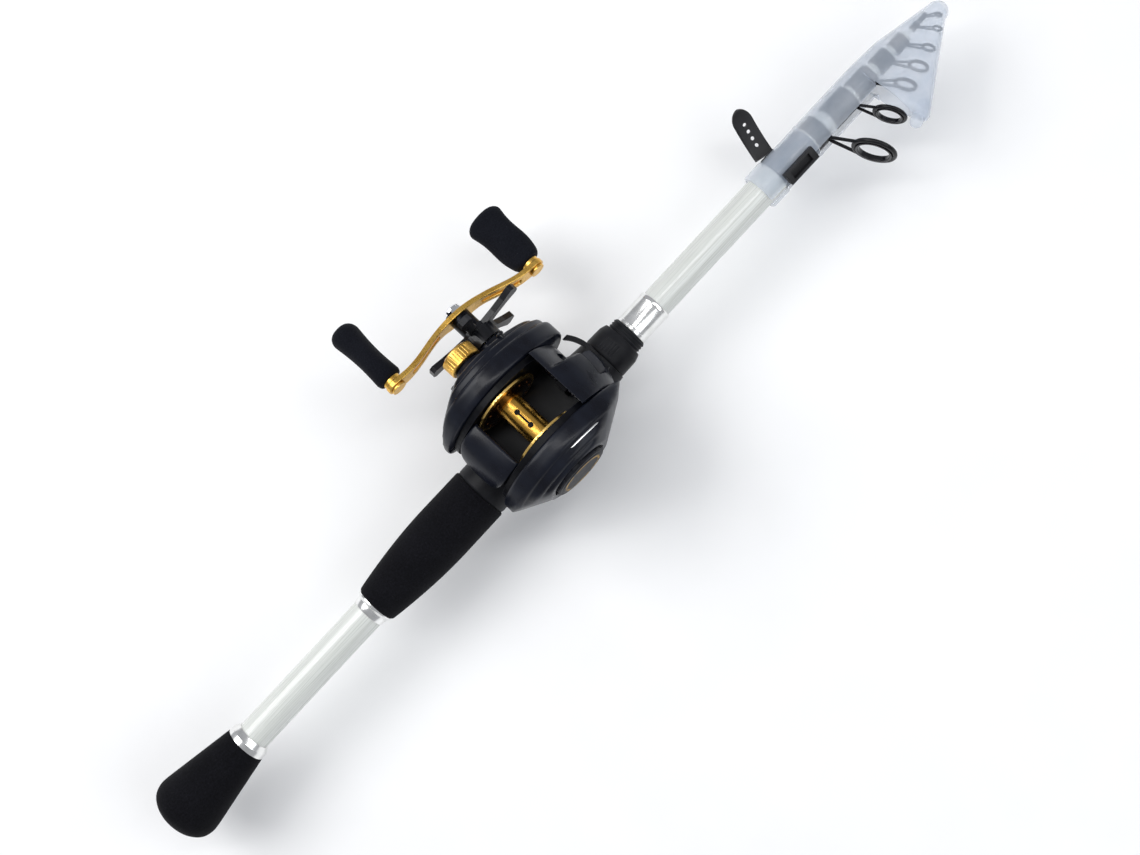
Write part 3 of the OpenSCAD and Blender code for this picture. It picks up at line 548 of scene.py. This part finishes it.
ROUNDED_NODES = {
    "seat_hood": 0.45, "lock_nut": 0.3, "reel_frame": 0.35, "spool": 0.18,
    "star_drag": 0.45, "crank_arm": 0.35, "handle_nut": 0.25, "knob_shafts": 0.2,
    "tension_cap": 0.12, "brake_dial": 0.3, "strap_buckle": 0.3, "line_guide": 0.3,
    "side_plate_screws": 0.1, "drive_shaft": 0.15, "reel_foot": 0.5,
    "guide_1_ring": 0.15, "guide_2_ring": 0.12,
}


def dress_cad_nodes():
    for name, node in frame["nodes"].items():
        material = LOOKS.get(name, MATERIALS[SLOT_OF[name]])
        if not node.material_slots:
            node.data.materials.append(material)
        for material_slot in node.material_slots:
            material_slot.material = material
        if name in ROUNDED_NODES:
            weld = node.modifiers.new("weld", "WELD")
            weld.merge_threshold = 0.004 * MM
            softened(node, ROUNDED_NODES[name])


# ---------------------------------------------------------------- rod


HANDLE_BORE = 8.06
TRIM_BORE = 8.04
FERRULE_BORE = 7.65


def butt_cap():
    """A domed end, then a straight taper to the neck"""
    length = high_mm("butt_cap").x
    radius = high_mm("butt_cap").z
    dome_end, dome_r = 14, 0.985 * radius
    taper_end, neck_r = length - 0.6, 10.4
    outside = open_curve([(0, 0.01), (0.3, 0.3 * radius), (1.3, 0.56 * radius),
                          (3.2, 0.77 * radius), (6, 0.93 * radius), (10, radius),
                          (dome_end, dome_r)], 5)
    outside += [np.array((dome_end + (taper_end - dome_end) * t,
                          dome_r + (neck_r - dome_r) * t)) for t in np.linspace(0.1, 1, 12)]
    outside += [(length - 0.15, neck_r - 0.1), (length, neck_r - 0.5), (length, HANDLE_BORE)]
    piece("foam_butt_cap", *turned_x(outside, 128), "eva_foam", "rod", ["butt_cap"])


def polished_trim(name, node, bore, profile):
    """A turned metal ring, fine enough to mirror in clean bands"""
    first, last = profile[0][0], profile[-1][0]
    outline = [(first, bore), *profile, (last, bore), (first, bore)]
    piece(name, *turned_x(outline, 160), "polished_trim", "rod", [node], sharp_deg=25)


def polished_trims():
    """The two winding checks and the ferrule, each with its own steps"""
    start, end = low_mm("butt_winding_check").x, high_mm("butt_winding_check").x
    radius = high_mm("butt_winding_check").z
    polished_trim("butt_check_ring", "butt_winding_check", TRIM_BORE, [
        (start, radius - 0.2), (start + 0.2, radius), (end - 3.0, radius),
        (end - 2.6, radius - 0.2), (end - 1.4, 9.2), (end - 0.4, 8.8), (end, 8.6)])
    start, end = low_mm("grip_winding_check").x, high_mm("grip_winding_check").x
    radius = high_mm("grip_winding_check").z
    polished_trim("grip_check_ring", "grip_winding_check", TRIM_BORE, [
        (start, 8.3), (start + 0.3, 8.45), (138, 8.8), (138.6, 9.4), (139, radius - 0.2),
        (139.3, radius), (end - 0.2, radius), (end, radius - 0.2)])
    start, end = low_mm("front_ferrule").x, high_mm("front_ferrule").x
    radius = high_mm("front_ferrule").z
    polished_trim("ferrule_tube", "front_ferrule", FERRULE_BORE, [
        (start, radius - 0.1), (start + 0.2, radius), (317, radius), (317.3, radius - 0.15),
        (317.6, 8.3), (330.6, 8.3), (330.9, radius - 0.15), (331.2, radius), (332.4, radius),
        (332.8, radius - 0.15), (end, 8.2)])


def rear_grip():
    """Foam that swells from the winding check to the seat"""
    rear, front = low_mm("rear_grip").x, high_mm("rear_grip").x
    radius = high_mm("rear_grip").z
    swell_start, swell_long, rear_r = rear + 0.7, 46, 10.5
    outside = [(rear, HANDLE_BORE), (rear, 9.8), (rear + 0.2, 10.2), (swell_start, rear_r)]
    outside += [(swell_start + swell_long * t,
                 rear_r + (radius - rear_r) * math.sin(math.pi / 2 * t) ** 0.9)
                for t in np.linspace(0.05, 1, 20)]
    outside += [(front - 1.2, radius - 0.1), (front - 0.4, radius - 0.3),
                (front, radius - 0.9), (front, HANDLE_BORE)]
    piece("foam_rear_grip", *turned_x(outside, 128), "eva_foam", "rod", ["rear_grip"])


def reel_seat():
    """Seat body: a turned form with a flat for the reel's foot and a thread"""
    rear, front = low_mm("reel_seat").x, high_mm("reel_seat").x
    ring_r = high_mm("reel_seat").z
    body_r, thread_r, ridge_r = 12.6, 8.8, 9.2
    flat_z, flat_start, flat_end = 9.5, 226, 282
    ring_end, body_end, thread_start = 222, 279, 281.5
    first_ridge, pitch, ridges = 310.6, 1.5, 3
    profile = [(rear, ring_r - 0.6), (rear + 0.5, ring_r - 0.15), (rear + 1.2, ring_r),
               (ring_end, ring_r)]
    profile += [tuple(p) for p in open_curve([(ring_end, ring_r), (225, 13.3), (228, 12.75),
                                              (232, body_r), (body_end, body_r)], 6)]
    profile += [(body_end + 1.2, body_r - 0.2), (thread_start - 0.3, 11.8),
                (thread_start, 11.3), (thread_start, thread_r)]
    for k in range(ridges):
        start = first_ridge + pitch * k
        profile += [(start, thread_r), (start + 0.3, ridge_r), (start + 0.9, ridge_r),
                    (start + 1.2, thread_r)]
    profile += [(front - 0.2, thread_r), (front, thread_r - 0.2)]
    count = 144
    rings = []
    for x, r in profile:
        ring = []
        on_flat = flat_start < x < flat_end
        for a in circle_angles(count):
            y, z = r * math.sin(a), r * math.cos(a)
            ring.append((x, y, min(z, flat_z) if on_flat else z))
        rings.append(ring)
    bore_front, bore_rear = [[(x, HANDLE_BORE * math.sin(a), HANDLE_BORE * math.cos(a))
                              for a in circle_angles(count)] for x in (front, rear)]
    shell = loft([bore_rear, *rings, bore_front, bore_rear], False, False)
    piece("reel_seat_body", *shell, "seat_plastic", "rod", ["reel_seat"])


def return_spring():
    """The clutch spring, which the thumb bar presses together"""
    node = frame["nodes"]["clutch_spring"]
    spring = bpy.data.objects.new("return_spring", node.data.copy())
    SCENE.collection.objects.link(spring)
    for material_slot in spring.material_slots:
        material_slot.material = MATERIALS["steel"]
    spring.data.shade_smooth()
    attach(spring, "rod")
    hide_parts("clutch_spring")
    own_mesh(spring)


def trigger():
    """The finger trigger: a curved blade, thick at its root and round at its tip"""
    spine = open_curve([(249, -9.2), (246.6, -13), (245.2, -18), (245.8, -24), (248.4, -30),
                        (250, -32.6)], 8)
    shares = np.linspace(0, 1, len(spine))
    half_long = np.interp(shares, [0, 0.12, 0.35, 0.7, 0.92, 1], [13.5, 9.0, 4.8, 3.3, 2.6, 0.5])
    half_wide = np.interp(shares, [0, 0.15, 0.6, 0.92, 1], [5.2, 4.0, 3.6, 3.0, 0.6])
    rings = []
    for i, (x, z) in enumerate(spine):
        before, after = spine[max(0, i - 1)], spine[min(len(spine) - 1, i + 1)]
        along = (after - before) / np.linalg.norm(after - before)
        across = np.array((-along[1], along[0]))
        ring = []
        for a in circle_angles(40):
            c, s = math.cos(a), math.sin(a)
            u = half_long[i] * squared(c, 0.8)
            v = half_wide[i] * squared(s, 0.8)
            ring.append((x + across[0] * u, v, z + across[1] * u))
        rings.append(ring)
    piece("seat_trigger", *loft(rings), "seat_plastic", "rod")


# ---------------------------------------------------------------- reel

PLATE_CENTRE = np.array((256.0, 26.0))
HANDLE_OUTLINE = [(216.8, 23), (221, 36), (233, 48.5), (250, 54.6), (266, 52.5), (281, 43),
                  (291, 29), (289, 16), (279, 6), (265, 3), (249, 6.5), (236, 13), (226, 16)]
PALM_OUTLINE = [(218, 24), (221, 37), (233, 49), (250, 54.6), (267, 52.5), (282, 44),
                (293, 31), (293, 19), (282, 8), (265, 5), (245, 6.5), (229, 13)]


def plate(name, outline, stations, shoulder, shoulder_r, node):
    """A side cover: its outline drawn in at (y, share) stations, inside a turned shoulder
    that is given by its axle and by (y, radius) points"""
    curve = np.array(closed_curve(outline, 12))
    ys, radii = zip(*shoulder_r)
    rings = []
    for y, share in stations:
        limit = np.interp(abs(y), ys, radii)
        ring = []
        for p in PLATE_CENTRE + (curve - PLATE_CENTRE) * share:
            ray = p - shoulder
            reach = np.linalg.norm(ray)
            p = shoulder + ray * (soft_least(reach, limit) / reach)
            ring.append((p[0], y, p[1]))
        rings.append(ring)
    return piece(name, *loft(rings), SLOT_OF[node], BODY_OF[node], [node], sharp_deg=50)


def soft_least(a, b, blend=1.6):
    """The lesser of two lengths, with a rounded change from one to the other"""
    h = max(0, min(1, 0.5 + 0.5 * (b - a) / blend))
    return b + (a - b) * h - blend * h * (1 - h) * 0.5


def boss(name, axis, profile):
    """A round step that stands on the handle side's cover"""
    piece(name, *turned_y(axis, profile), "reel_shell", "rod", sharp_deg=50)


def side_plates():
    """Both covers rise in soft steps, each with a narrow lip"""
    inner_face = low_mm("handle_side_plate").y
    handle = [(0, 0.975), (0.5, 0.992), (1.2, 1.0), (3, 1.0), (4.5, 1.0), (6, 1.0), (7.4, 1.0),
              (8.5, 0.992), (9.1, 0.976), (9.3, 0.958), (9.8, 0.951), (11.6, 0.945),
              (12.6, 0.932), (13.1, 0.910), (13.3, 0.875), (13.8, 0.866), (15.0, 0.855),
              (15.7, 0.83), (15.9, 0.79), (15.9, 0.5), (15.9, 0.2)]
    plate("handle_cover", HANDLE_OUTLINE, [(inner_face + y, share) for y, share in handle],
          np.array((262.0, 28.0)), [(20.5, 46), (23.5, 41), (27.1, 35.5), (30, 31), (33, 26)],
          "handle_side_plate")
    top = inner_face + 15.7
    boss("crank_boss", CRANK_AXIS, [(top, 11.2), (top + 0.6, 10.2), (top + 2.6, 9.9),
                                    (top + 3.2, 9.4), (top + 3.4, 8.6), (top + 6.2, 8.4),
                                    (top + 6.6, 8.0), (top + 6.6, 0.01)])
    boss("cap_boss", SPOOL_AXIS, [(top, 9.0), (top + 0.5, 8.2), (top + 3.6, 7.7),
                                  (top + 4.1, 7.3), (top + 4.2, 6.2), (top + 8.4, 6.2),
                                  (top + 8.6, 5.9), (top + 8.6, 0.01)])
    inner_face = high_mm("palm_side_plate").y
    palm = [(0, 0.975), (0.5, 0.992), (1.2, 1.0), (2.6, 1.0), (4, 1.0), (5.5, 1.0), (7.2, 1.0),
            (8.4, 0.992), (9.0, 0.970), (9.2, 0.952), (9.8, 0.943), (12.0, 0.935),
            (13.0, 0.920), (13.5, 0.895), (13.7, 0.855), (14.3, 0.845), (15.2, 0.83),
            (15.7, 0.80), (15.9, 0.76)]
    cover = plate("palm_cover", PALM_OUTLINE, [(inner_face - y, share) for y, share in palm],
                  np.array(SPOOL_AXIS),
                  [(17, 43), (22.6, 36), (24.7, 32.3), (31.1, 21.2), (33, 17.8)],
                  "palm_side_plate")
    # the round recess that the brake dial turns in
    recess_r, floor, beyond = 15.1, inner_face - 14.3, inner_face - 20
    cut(cover, *turned_y(SPOOL_AXIS, [(beyond, 0.01), (beyond, recess_r), (floor, recess_r),
                                      (floor, 0.01)]))
    palm_accent(cover)


def line_tie_painted_shade():
    """A dark sheet sunk into the arbor: painted shade inside the spool's two tie holes and in the
    slot between them
    """
    arbor_r, hole_y, hole_r, slot_half = 6.3, 4.2, 1.25, 0.42
    sunk, proud = -1.2, 0.03
    neck = math.asin(slot_half / hole_r)
    outline = []
    for side in (-1, 1):
        for a in np.linspace(neck, 2 * math.pi - neck, 22):
            outline.append((-side * hole_r * math.sin(a),
                            side * (hole_y - hole_r * math.cos(a))))
    rings = []
    for depth in (sunk, proud):
        radius = arbor_r + depth
        rings.append([(SPOOL_AXIS[0] + radius * math.sin(u / arbor_r), y,
                       SPOOL_AXIS[1] + radius * math.cos(u / arbor_r)) for u, y in outline])
    points, faces = loft(rings, False, False)
    count = len(outline)
    for start in (0, count):
        faces.append(tuple(range(start, start + count)))
    # painted shade: a black sheet stands where the tie holes and slot are only in shadow
    piece("spool_line_tie", points, faces, "black_plastic", BODY_OF["spool"])


def palm_accent(cover):
    """A thin bright inlay along the top shoulder of the palm cover"""
    first_x, last_x, y, above = 257, 273, -27.0, 90
    half_w, proud, sunk = 0.35, 0.12, -0.5
    down = Vector((0, 0, -1))
    rings = []
    for t in np.linspace(0, 1, 25):
        start = Vector((first_x + (last_x - first_x) * t, y, above)) * MM
        width = half_w * math.sqrt(max(0.05, 1 - (2 * t - 1) ** 8))
        place, normal = cover.ray_cast(start, down)[1:3]
        across = normal.cross(Vector((1, 0, 0))).normalized()
        middle = place / MM
        rings.append([tuple(middle + across * width * sign + normal * lift)
                      for sign, lift in ((1, sunk), (1, proud * 0.5), (0.6, proud),
                                         (-0.6, proud), (-1, proud * 0.5), (-1, sunk))])
    piece("palm_accent", *loft(rings), "polished_trim", "rod")


def front_cowling():
    """The hood over the level wind: bent down at the front, round in plan, with a window"""
    rear = low_mm("front_cowling").x
    reach = high_mm("front_cowling").x
    half = high_mm("front_cowling").y
    outer = open_curve([(274.6, 50.2), (279.5, 47.8), (284.5, 43.8), (288.8, 38.8),
                        (292.2, 33), (294.6, 26.5), (295.6, 19.2)], 5)
    inner = open_curve([(290.9, 19.2), (290.6, 24), (288.4, 30.5), (285.2, 36.3),
                        (281.2, 41.2), (277, 44.8), (274.6, 46.4)], 5)
    section = list(outer) + list(inner)
    plan_r, plan_x = 29.6, 266
    short_reach, step_start, step_wide = 285.4, 3, 2.6
    rings = []
    for share in (-1, -0.985, -0.95, -0.85, -0.7, -0.5, -0.25, 0, 0.15, 0.22, 0.26, 0.3, 0.34,
                  0.4, 0.5, 0.7, 0.85, 0.95, 0.985, 1):
        y = share * half
        limit = plan_x + math.sqrt(plan_r ** 2 - y ** 2)
        # it reaches less far on the crank side
        stepped = max(0, min(1, (y - step_start) / step_wide))
        limit += (short_reach - limit) * stepped ** 2 * (3 - 2 * stepped)
        shrink = 0.5 if abs(share) == 1 else 0.15 if abs(share) > 0.98 else 0
        ring = []
        for k, (x, z) in enumerate(section):
            drop = -shrink if k < len(outer) else shrink
            ring.append((rear + (x - rear) * (limit - rear) / (reach - rear) + drop, y, z + drop))
        rings.append(ring)
    cowl = piece("cowling", *loft(rings), SLOT_OF["front_cowling"], "rod", ["front_cowling"])
    window = rounded_box(half_w=10.5, half_h=5, corner=2, z_mid=31)
    cut(cowl, *loft([[(x, y, z) for y, z in window] for x in (277, 300)]))
    softened(cowl, 0.35)


def rounded_box(half_w, half_h, corner, z_mid, steps=5):
    """Outline of a box with round corners, as (y, z) points"""
    outline = []
    for quarter, (sy, sz) in enumerate(((1, 1), (-1, 1), (-1, -1), (1, -1))):
        for k in range(steps + 1):
            a = math.pi / 2 * (quarter + k / steps)
            outline.append((sy * (half_w - corner) + corner * math.cos(a),
                            z_mid + sz * (half_h - corner) + corner * math.sin(a)))
    return outline


def thumb_bar():
    """A bent plate with round lower corners, on a short stem"""
    bend = np.array((237.4, 27.8))
    inside, outside = 15.5, 18.6
    first_deg, last_deg = 95, 174
    mid = (inside + outside) / 2
    half = high_mm("thumb_bar").y
    rings = []
    for t in np.linspace(0, 1, 33):
        a = math.radians(first_deg + (last_deg - first_deg) * t)
        width = half * (1 - 0.34 * max(0, (t - 0.35) / 0.65) ** 2.4)
        thick = 1 if 0.03 < t < 0.97 else 0.62
        half_t = (outside - inside) / 2 * thick
        ring = []
        for b in circle_angles(48):
            c, s = math.cos(b), math.sin(b)
            y = width * squared(c, 0.35)
            crown = 0.25 * (y / width) ** 2
            r = mid + half_t * squared(s, 0.5) - crown
            ring.append((bend[0] + r * math.cos(a), y, bend[1] + r * math.sin(a)))
        rings.append(ring)
    piece("thumb_bar_plate", *loft(rings), SLOT_OF["thumb_bar"], BODY_OF["thumb_bar"],
          ["thumb_bar"], sharp_deg=60)
    rear, front, side, foot, top = 224.6, 229.8, 3.8, 29.1, 37
    stem = [[(x, y, z) for x, y in ((rear, -side), (front, -side), (front, side), (rear, side))]
            for z in (foot, top)]
    softened(piece("thumb_bar_stem", *loft(stem), SLOT_OF["thumb_bar"], BODY_OF["thumb_bar"]),
             0.5)


def knob(node, thin_along_x):
    """A paddle knob: flared at its end, drawn in at its waist"""
    low, high = low_mm(node), high_mm(node)
    centre = (low + high) / 2
    base, end = low.y, high.y
    wide, thin = (high.z - low.z) / 2, (high.x - low.x) / 2
    if not thin_along_x:
        wide, thin = thin, wide
    dome_at = 0.86
    stations = [(0.0, 0.80), (0.012, 0.90), (0.035, 0.965)]
    stations += [(t, 1) for t in np.linspace(0.06, dome_at, 18)]
    stations += [(dome_at + (1 - dome_at) * math.sin(a), math.cos(a) ** 0.62)
                 for a in np.radians((12, 24, 36, 48, 58, 68, 77, 84))]
    rings = []
    for t, share in stations:
        s = min(t / dome_at, 1)
        half_wide = wide * (0.70 + 0.30 * s + 0.055 * math.sin(math.pi * s)
                            + 0.068 * math.sin(2 * math.pi * s)) * share
        half_thin = thin * (0.94 + 0.06 * s - 0.13 * math.sin(math.pi * s)) * share
        half_x, half_z = (half_thin, half_wide) if thin_along_x else (half_wide, half_thin)
        ring = []
        for a in circle_angles(64):
            c, q = math.cos(a), math.sin(a)
            ring.append((centre.x + half_x * squared(c, 0.86), base + (end - base) * t,
                         centre.z + half_z * squared(q, 0.86)))
        rings.append(ring)
    piece(node + "_foam", *loft(rings), SLOT_OF[node], BODY_OF[node], [node],
                    sharp_deg=60)


# ---------------------------------------------------------------- cover and strap

GUIDE_TURN = math.radians(76)
# (station, height, radius) of the round tip and of the fin's far corner, in the guides' plane
COVER_TIP = (523.3, 3.4, 5.2)
CORNER = (479.8, 34.2, 3.3)
FIN_REAR = 476.5
FIN_REAR_R = 9.3
NECK_X, NECK_R = 493, 8.3
MIDDLE_OUT, MIDDLE_R = 18, 9.2
HALF_SLIT = 3.6


def from_guide_line(x, across, out):
    """A point of the guides' own plane, in the rod's frame"""
    c, s = math.cos(GUIDE_TURN), math.sin(GUIDE_TURN)
    return x, across * c - out * s, across * s + out * c


def fin_circles(x):
    """(height, radius) of the circles whose hull is the fin's section at x"""
    tip_x, tip_out, tip_r = COVER_TIP
    if x > tip_x:
        return [(tip_out, math.sqrt(max(tip_r ** 2 - (x - tip_x) ** 2, 1e-6)))]
    t = (x - FIN_REAR) / (tip_x - FIN_REAR)
    base_r = np.interp(x, [FIN_REAR, NECK_X, tip_x], [FIN_REAR_R, NECK_R, tip_r])
    corner_x, corner_out, corner_r = CORNER
    if x < corner_x:
        corner = (corner_out, math.sqrt(max(corner_r ** 2 - (corner_x - x) ** 2, 0.01)))
    else:
        u = (x - corner_x) / (tip_x - corner_x)
        corner = (corner_out + (tip_out - corner_out) * u, corner_r + (tip_r - corner_r) * u)
    return [(tip_out * max(0, (x - NECK_X) / (tip_x - NECK_X)), base_r),
            (MIDDLE_OUT + (tip_out - MIDDLE_OUT) * t, MIDDLE_R + (tip_r - MIDDLE_R) * t), corner]


def fin_ring(x, angles, inset):
    """The hull of the fin's circles at x, drawn in by inset, as a point for each angle"""
    circles = [(out, r - inset) for out, r in fin_circles(x)]
    middle = circles[0][0]
    fan = np.radians(np.arange(0, 360, 1.0))
    normals = np.stack([np.sin(fan), np.cos(fan)], 1)
    facing_least = 0.02
    reach = np.max([out * normals[:, 1] + r for out, r in circles], axis=0)
    reach = reach - middle * normals[:, 1]
    ring = []
    for a in angles:
        ray = np.array((math.sin(a), math.cos(a)))
        facing = normals @ ray
        length = np.min(np.where(facing > facing_least,
                                 reach / np.maximum(facing, facing_least), np.inf))
        ring.append(from_guide_line(x, length * ray[0], middle + length * ray[1]))
    return ring


def tip_cover():
    """The clear cover: a slit tube that opens into a tapering fin"""
    collar, tip = low_mm("tip_cover").x, high_mm("tip_cover").x
    wall, tip_wall = 0.8, 2.4
    tube_bore = 8.45
    # angles from the guide line, closer together where the fin is narrow
    fan = np.concatenate([np.linspace(0, 24, 22)[1:], np.linspace(24, 90, 16)[1:],
                          np.linspace(90, 180, 16)[1:]])
    angles = np.radians(np.concatenate([[0], fan, -fan[::-1][1:]]))
    fin_x = [FIN_REAR, FIN_REAR + 0.9, FIN_REAR + 2, *np.linspace(FIN_REAR + 4, 523, 26)]
    fin_x += [COVER_TIP[0] + COVER_TIP[2] * math.sin(math.radians(a))
              for a in (12, 26, 40, 54, 66, 76, 84)]
    outer = [fin_ring(x, angles, 0) for x in fin_x]
    inner = [fin_ring(x, angles, wall) for x in fin_x if x < tip - tip_wall]
    above = [k for k, a in enumerate(angles) if abs(a) < math.pi / 2]
    rim_points, rim = loft([outer[0], inner[0]], False, False)
    rim = [face for face in rim if face[0] in above and face[1] in above]
    fin = joined(loft(outer, False, True), loft(inner, False, True), (rim_points, rim))
    # the slit tube, as a strip of wall round from one edge of the slit to the other
    profile = [(collar, 9.2), (collar + 0.3, 9.6), (collar + 0.8, 9.8), (414.4, 9.8),
               (415.0, 9.5), (415.5, 9.25), (436.8, 9.25), (437.1, 9.45), (438.4, 9.5),
               (438.9, 9.32), (FIN_REAR, FIN_REAR_R)]
    count = 72
    strips = []
    for x, r in profile:
        strip = []
        for radius in (r, tube_bore):
            edge = math.asin(HALF_SLIT / radius)
            arc = np.linspace(edge, 2 * math.pi - edge, count)
            strip.append([from_guide_line(x, radius * math.sin(a), radius * math.cos(a))
                          for a in arc])
        strips.append(strip[0] + strip[1][::-1])
    tube = loft(strips, False, False)
    ends = [(k, k + 1, 2 * count - 2 - k, 2 * count - 1 - k) for k in range(count - 1)]
    tube[1].extend(ends)
    # at the fin, only the stretches beside the slit are closed
    beside_slit = count // 4
    start = (len(strips) - 1) * 2 * count
    tube[1].extend(tuple(i + start for i in face)
                   for face in ends[:beside_slit] + ends[-beside_slit:])
    webs = [mouth_web(side) for side in (-1, 1)]
    piece("clear_tip_cover", *joined(fin, tube, lobe(), *webs), "clear_cover", "cover_body",
          ["tip_cover"], sharp_deg=45)


def mouth_web(side):
    """A thin web that closes the fin's mouth between the tube and the fin's flat side"""
    side_y, thick, lap, lowest = 9.15, 0.5, 0.05, 1.6
    highest = math.sqrt(FIN_REAR_R ** 2 - HALF_SLIT ** 2)
    rings = []
    for out in np.linspace(highest, lowest, 12):
        near = math.sqrt(FIN_REAR_R ** 2 - out ** 2) - lap
        rings.append([from_guide_line(x, side * across, out)
                      for x, across in ((FIN_REAR - thick, near), (FIN_REAR - thick, side_y),
                                        (FIN_REAR, side_y), (FIN_REAR, near))])
    return loft(rings)


def lobe():
    """The solid lobe behind the fin's far corner, round at both ends"""
    first, last, radius = np.array((475.0, 33.8)), np.array((483.0, 31.0)), 3.2
    along = (last - first) / np.linalg.norm(last - first)
    across = np.array((-along[1], along[0]))
    rings = []
    for centre, bends in ((first, range(-84, 1, 14)), (last, range(0, 85, 14))):
        for bend in np.radians(bends):
            middle = centre + along * radius * math.sin(bend)
            ring_r = radius * math.cos(bend)
            ring = []
            for a in circle_angles(28):
                x, out = middle + across * ring_r * math.cos(a)
                ring.append(from_guide_line(x, ring_r * math.sin(a), out))
            rings.append(ring)
    return loft(rings)


def strap():
    """The cover's rubber strap: a curved band with round edges and buckle holes"""
    root = np.array((420, 11.2, -3.4))
    lean = math.radians(-14)
    bend_r, thick, half = 30.0, 1.8, 5.0
    straight, end_deg = 17.5, 48.5
    rings = []
    for t in np.linspace(0, 1, 57):
        along = math.radians(end_deg * t)
        reach = bend_r * math.sin(along)
        over = max(0, reach - straight) / half
        width = half * (math.sqrt(max(0.02, 1 - over ** 2)) if over < 1 else 0.15)
        ring = []
        for a in circle_angles(28):
            c, s = math.cos(a), math.sin(a)
            across = width * squared(c, 0.3)
            r = bend_r + thick / 2 + thick / 2 * squared(s, 0.55)
            y, z = r * math.sin(along), bend_r - r * math.cos(along)
            ring.append(root + (across * math.cos(lean) - y * math.sin(lean),
                                across * math.sin(lean) + y * math.cos(lean), z))
        rings.append(ring)
    band = piece("rubber_strap", *loft(rings), "strap_rubber", "strap_body", ["strap_tail"],
                 sharp_deg=50)
    holes, first_hole_deg, hole_step_deg, hole_r = 4, 12.25, 7, 0.95
    for k in range(holes):
        a = math.radians(first_hole_deg + hole_step_deg * k)
        towards = np.array((-math.sin(a) * math.sin(lean), math.sin(a) * math.cos(lean),
                            -math.cos(a)))
        centre = root + (0, 0, bend_r)
        side = np.array((math.cos(lean), math.sin(lean), 0))
        third = np.cross(towards, side)
        hole = [[centre + towards * reach + hole_r * (side * math.cos(b) + third * math.sin(b))
                 for b in circle_angles(24)] for reach in (bend_r - 2, bend_r + 4)]
        cut(band, *loft(hole))
    softened(band, 0.15, 1)


# ---------------------------------------------------------------- floor, lights and camera


def stage():
    """A wide, round, level floor"""
    middle_x, gap = 260, 0.5
    level = CAD_BOX[0].z / MM - gap
    rings = [[(middle_x + reach * math.cos(a), reach * math.sin(a), level)
              for a in circle_angles(96)] for reach in (0.05, 300, 900, 2000, 4000, 8000)]
    points, faces = loft(rings, False, False)
    mesh = mesh_in_metres("floor", points, faces)
    mesh.shade_smooth()
    f = Finish("floor_paper", roughness=0.9, specular_ior_level=0.1)
    f.colour(f.ramp(f.noise(60, 3.0), (0.3, (0.90, 0.90, 0.90)), (0.7, (0.93, 0.93, 0.93))))
    f.bump(f.noise(1.5, 3.0), 0.1, 0.05)
    mesh.materials.append(f.material)
    floor = bpy.data.objects.new("floor", mesh)
    SCENE.collection.objects.link(floor)


def area_light(name, place, size, power, colour=(1, 1, 1)):
    """A rectangular light that faces the middle of the rod"""
    light = bpy.data.lights.new(name, "AREA")
    light.shape = "RECTANGLE"
    light.size, light.size_y = size
    light.energy = power
    light.color = colour
    obj = bpy.data.objects.new(name, light)
    target = Vector((0.27, 0, 0))
    obj.location = place
    obj.rotation_euler = (target - Vector(place)).to_track_quat("-Z", "Y").to_euler()
    SCENE.collection.objects.link(obj)


def lights():
    world = bpy.data.worlds.new("studio")
    world.use_nodes = True
    background = world.node_tree.nodes["Background"].inputs
    background["Color"].default_value = (0.93, 0.95, 1.0, 1)
    background["Strength"].default_value = 0.4
    SCENE.world = world
    SCENE.view_settings.view_transform = "Standard"
    area_light("key", (-0.15, 0.75, 1.0), (0.9, 0.7), 9)
    area_light("fill", (0.7, -0.7, 0.8), (0.9, 0.7), 4, (0.94, 0.97, 1.0))
    area_light("strip", (0.35, 0.1, 1.1), (1.3, 0.15), 4)


def camera():
    """Looks down on the rod from a little to the palm side, with the tip to the upper right"""
    tilt = math.radians(11)
    toward = Vector((0, -math.sin(tilt), math.cos(tilt)))
    level = Vector((0, math.cos(tilt), math.sin(tilt)))
    along = Vector((1, 0, 0))
    turn = math.radians(47.04)
    right = along * math.cos(turn) - level * math.sin(turn)
    up = along * math.sin(turn) + level * math.cos(turn)
    target = Vector((0.263, 0, 0)) - level * 0.010
    distance = 0.7
    data = bpy.data.cameras.new("camera")
    data.lens = 47
    data.sensor_width = 36
    data.clip_start = 0.01
    obj = bpy.data.objects.new("camera", data)
    rotation = Matrix((right, up, toward)).transposed()
    obj.matrix_world = Matrix.Translation(target + toward * distance) @ rotation.to_4x4()
    SCENE.collection.objects.link(obj)
    SCENE.camera = obj


camera()
lights()
stage()
dress_cad_nodes()
butt_cap()
polished_trims()
rear_grip()
reel_seat()
trigger()
return_spring()
side_plates()
line_tie_painted_shade()
front_cowling()
thumb_bar()
knob("rear_knob", True)
knob("front_knob", False)
tip_cover()
strap()
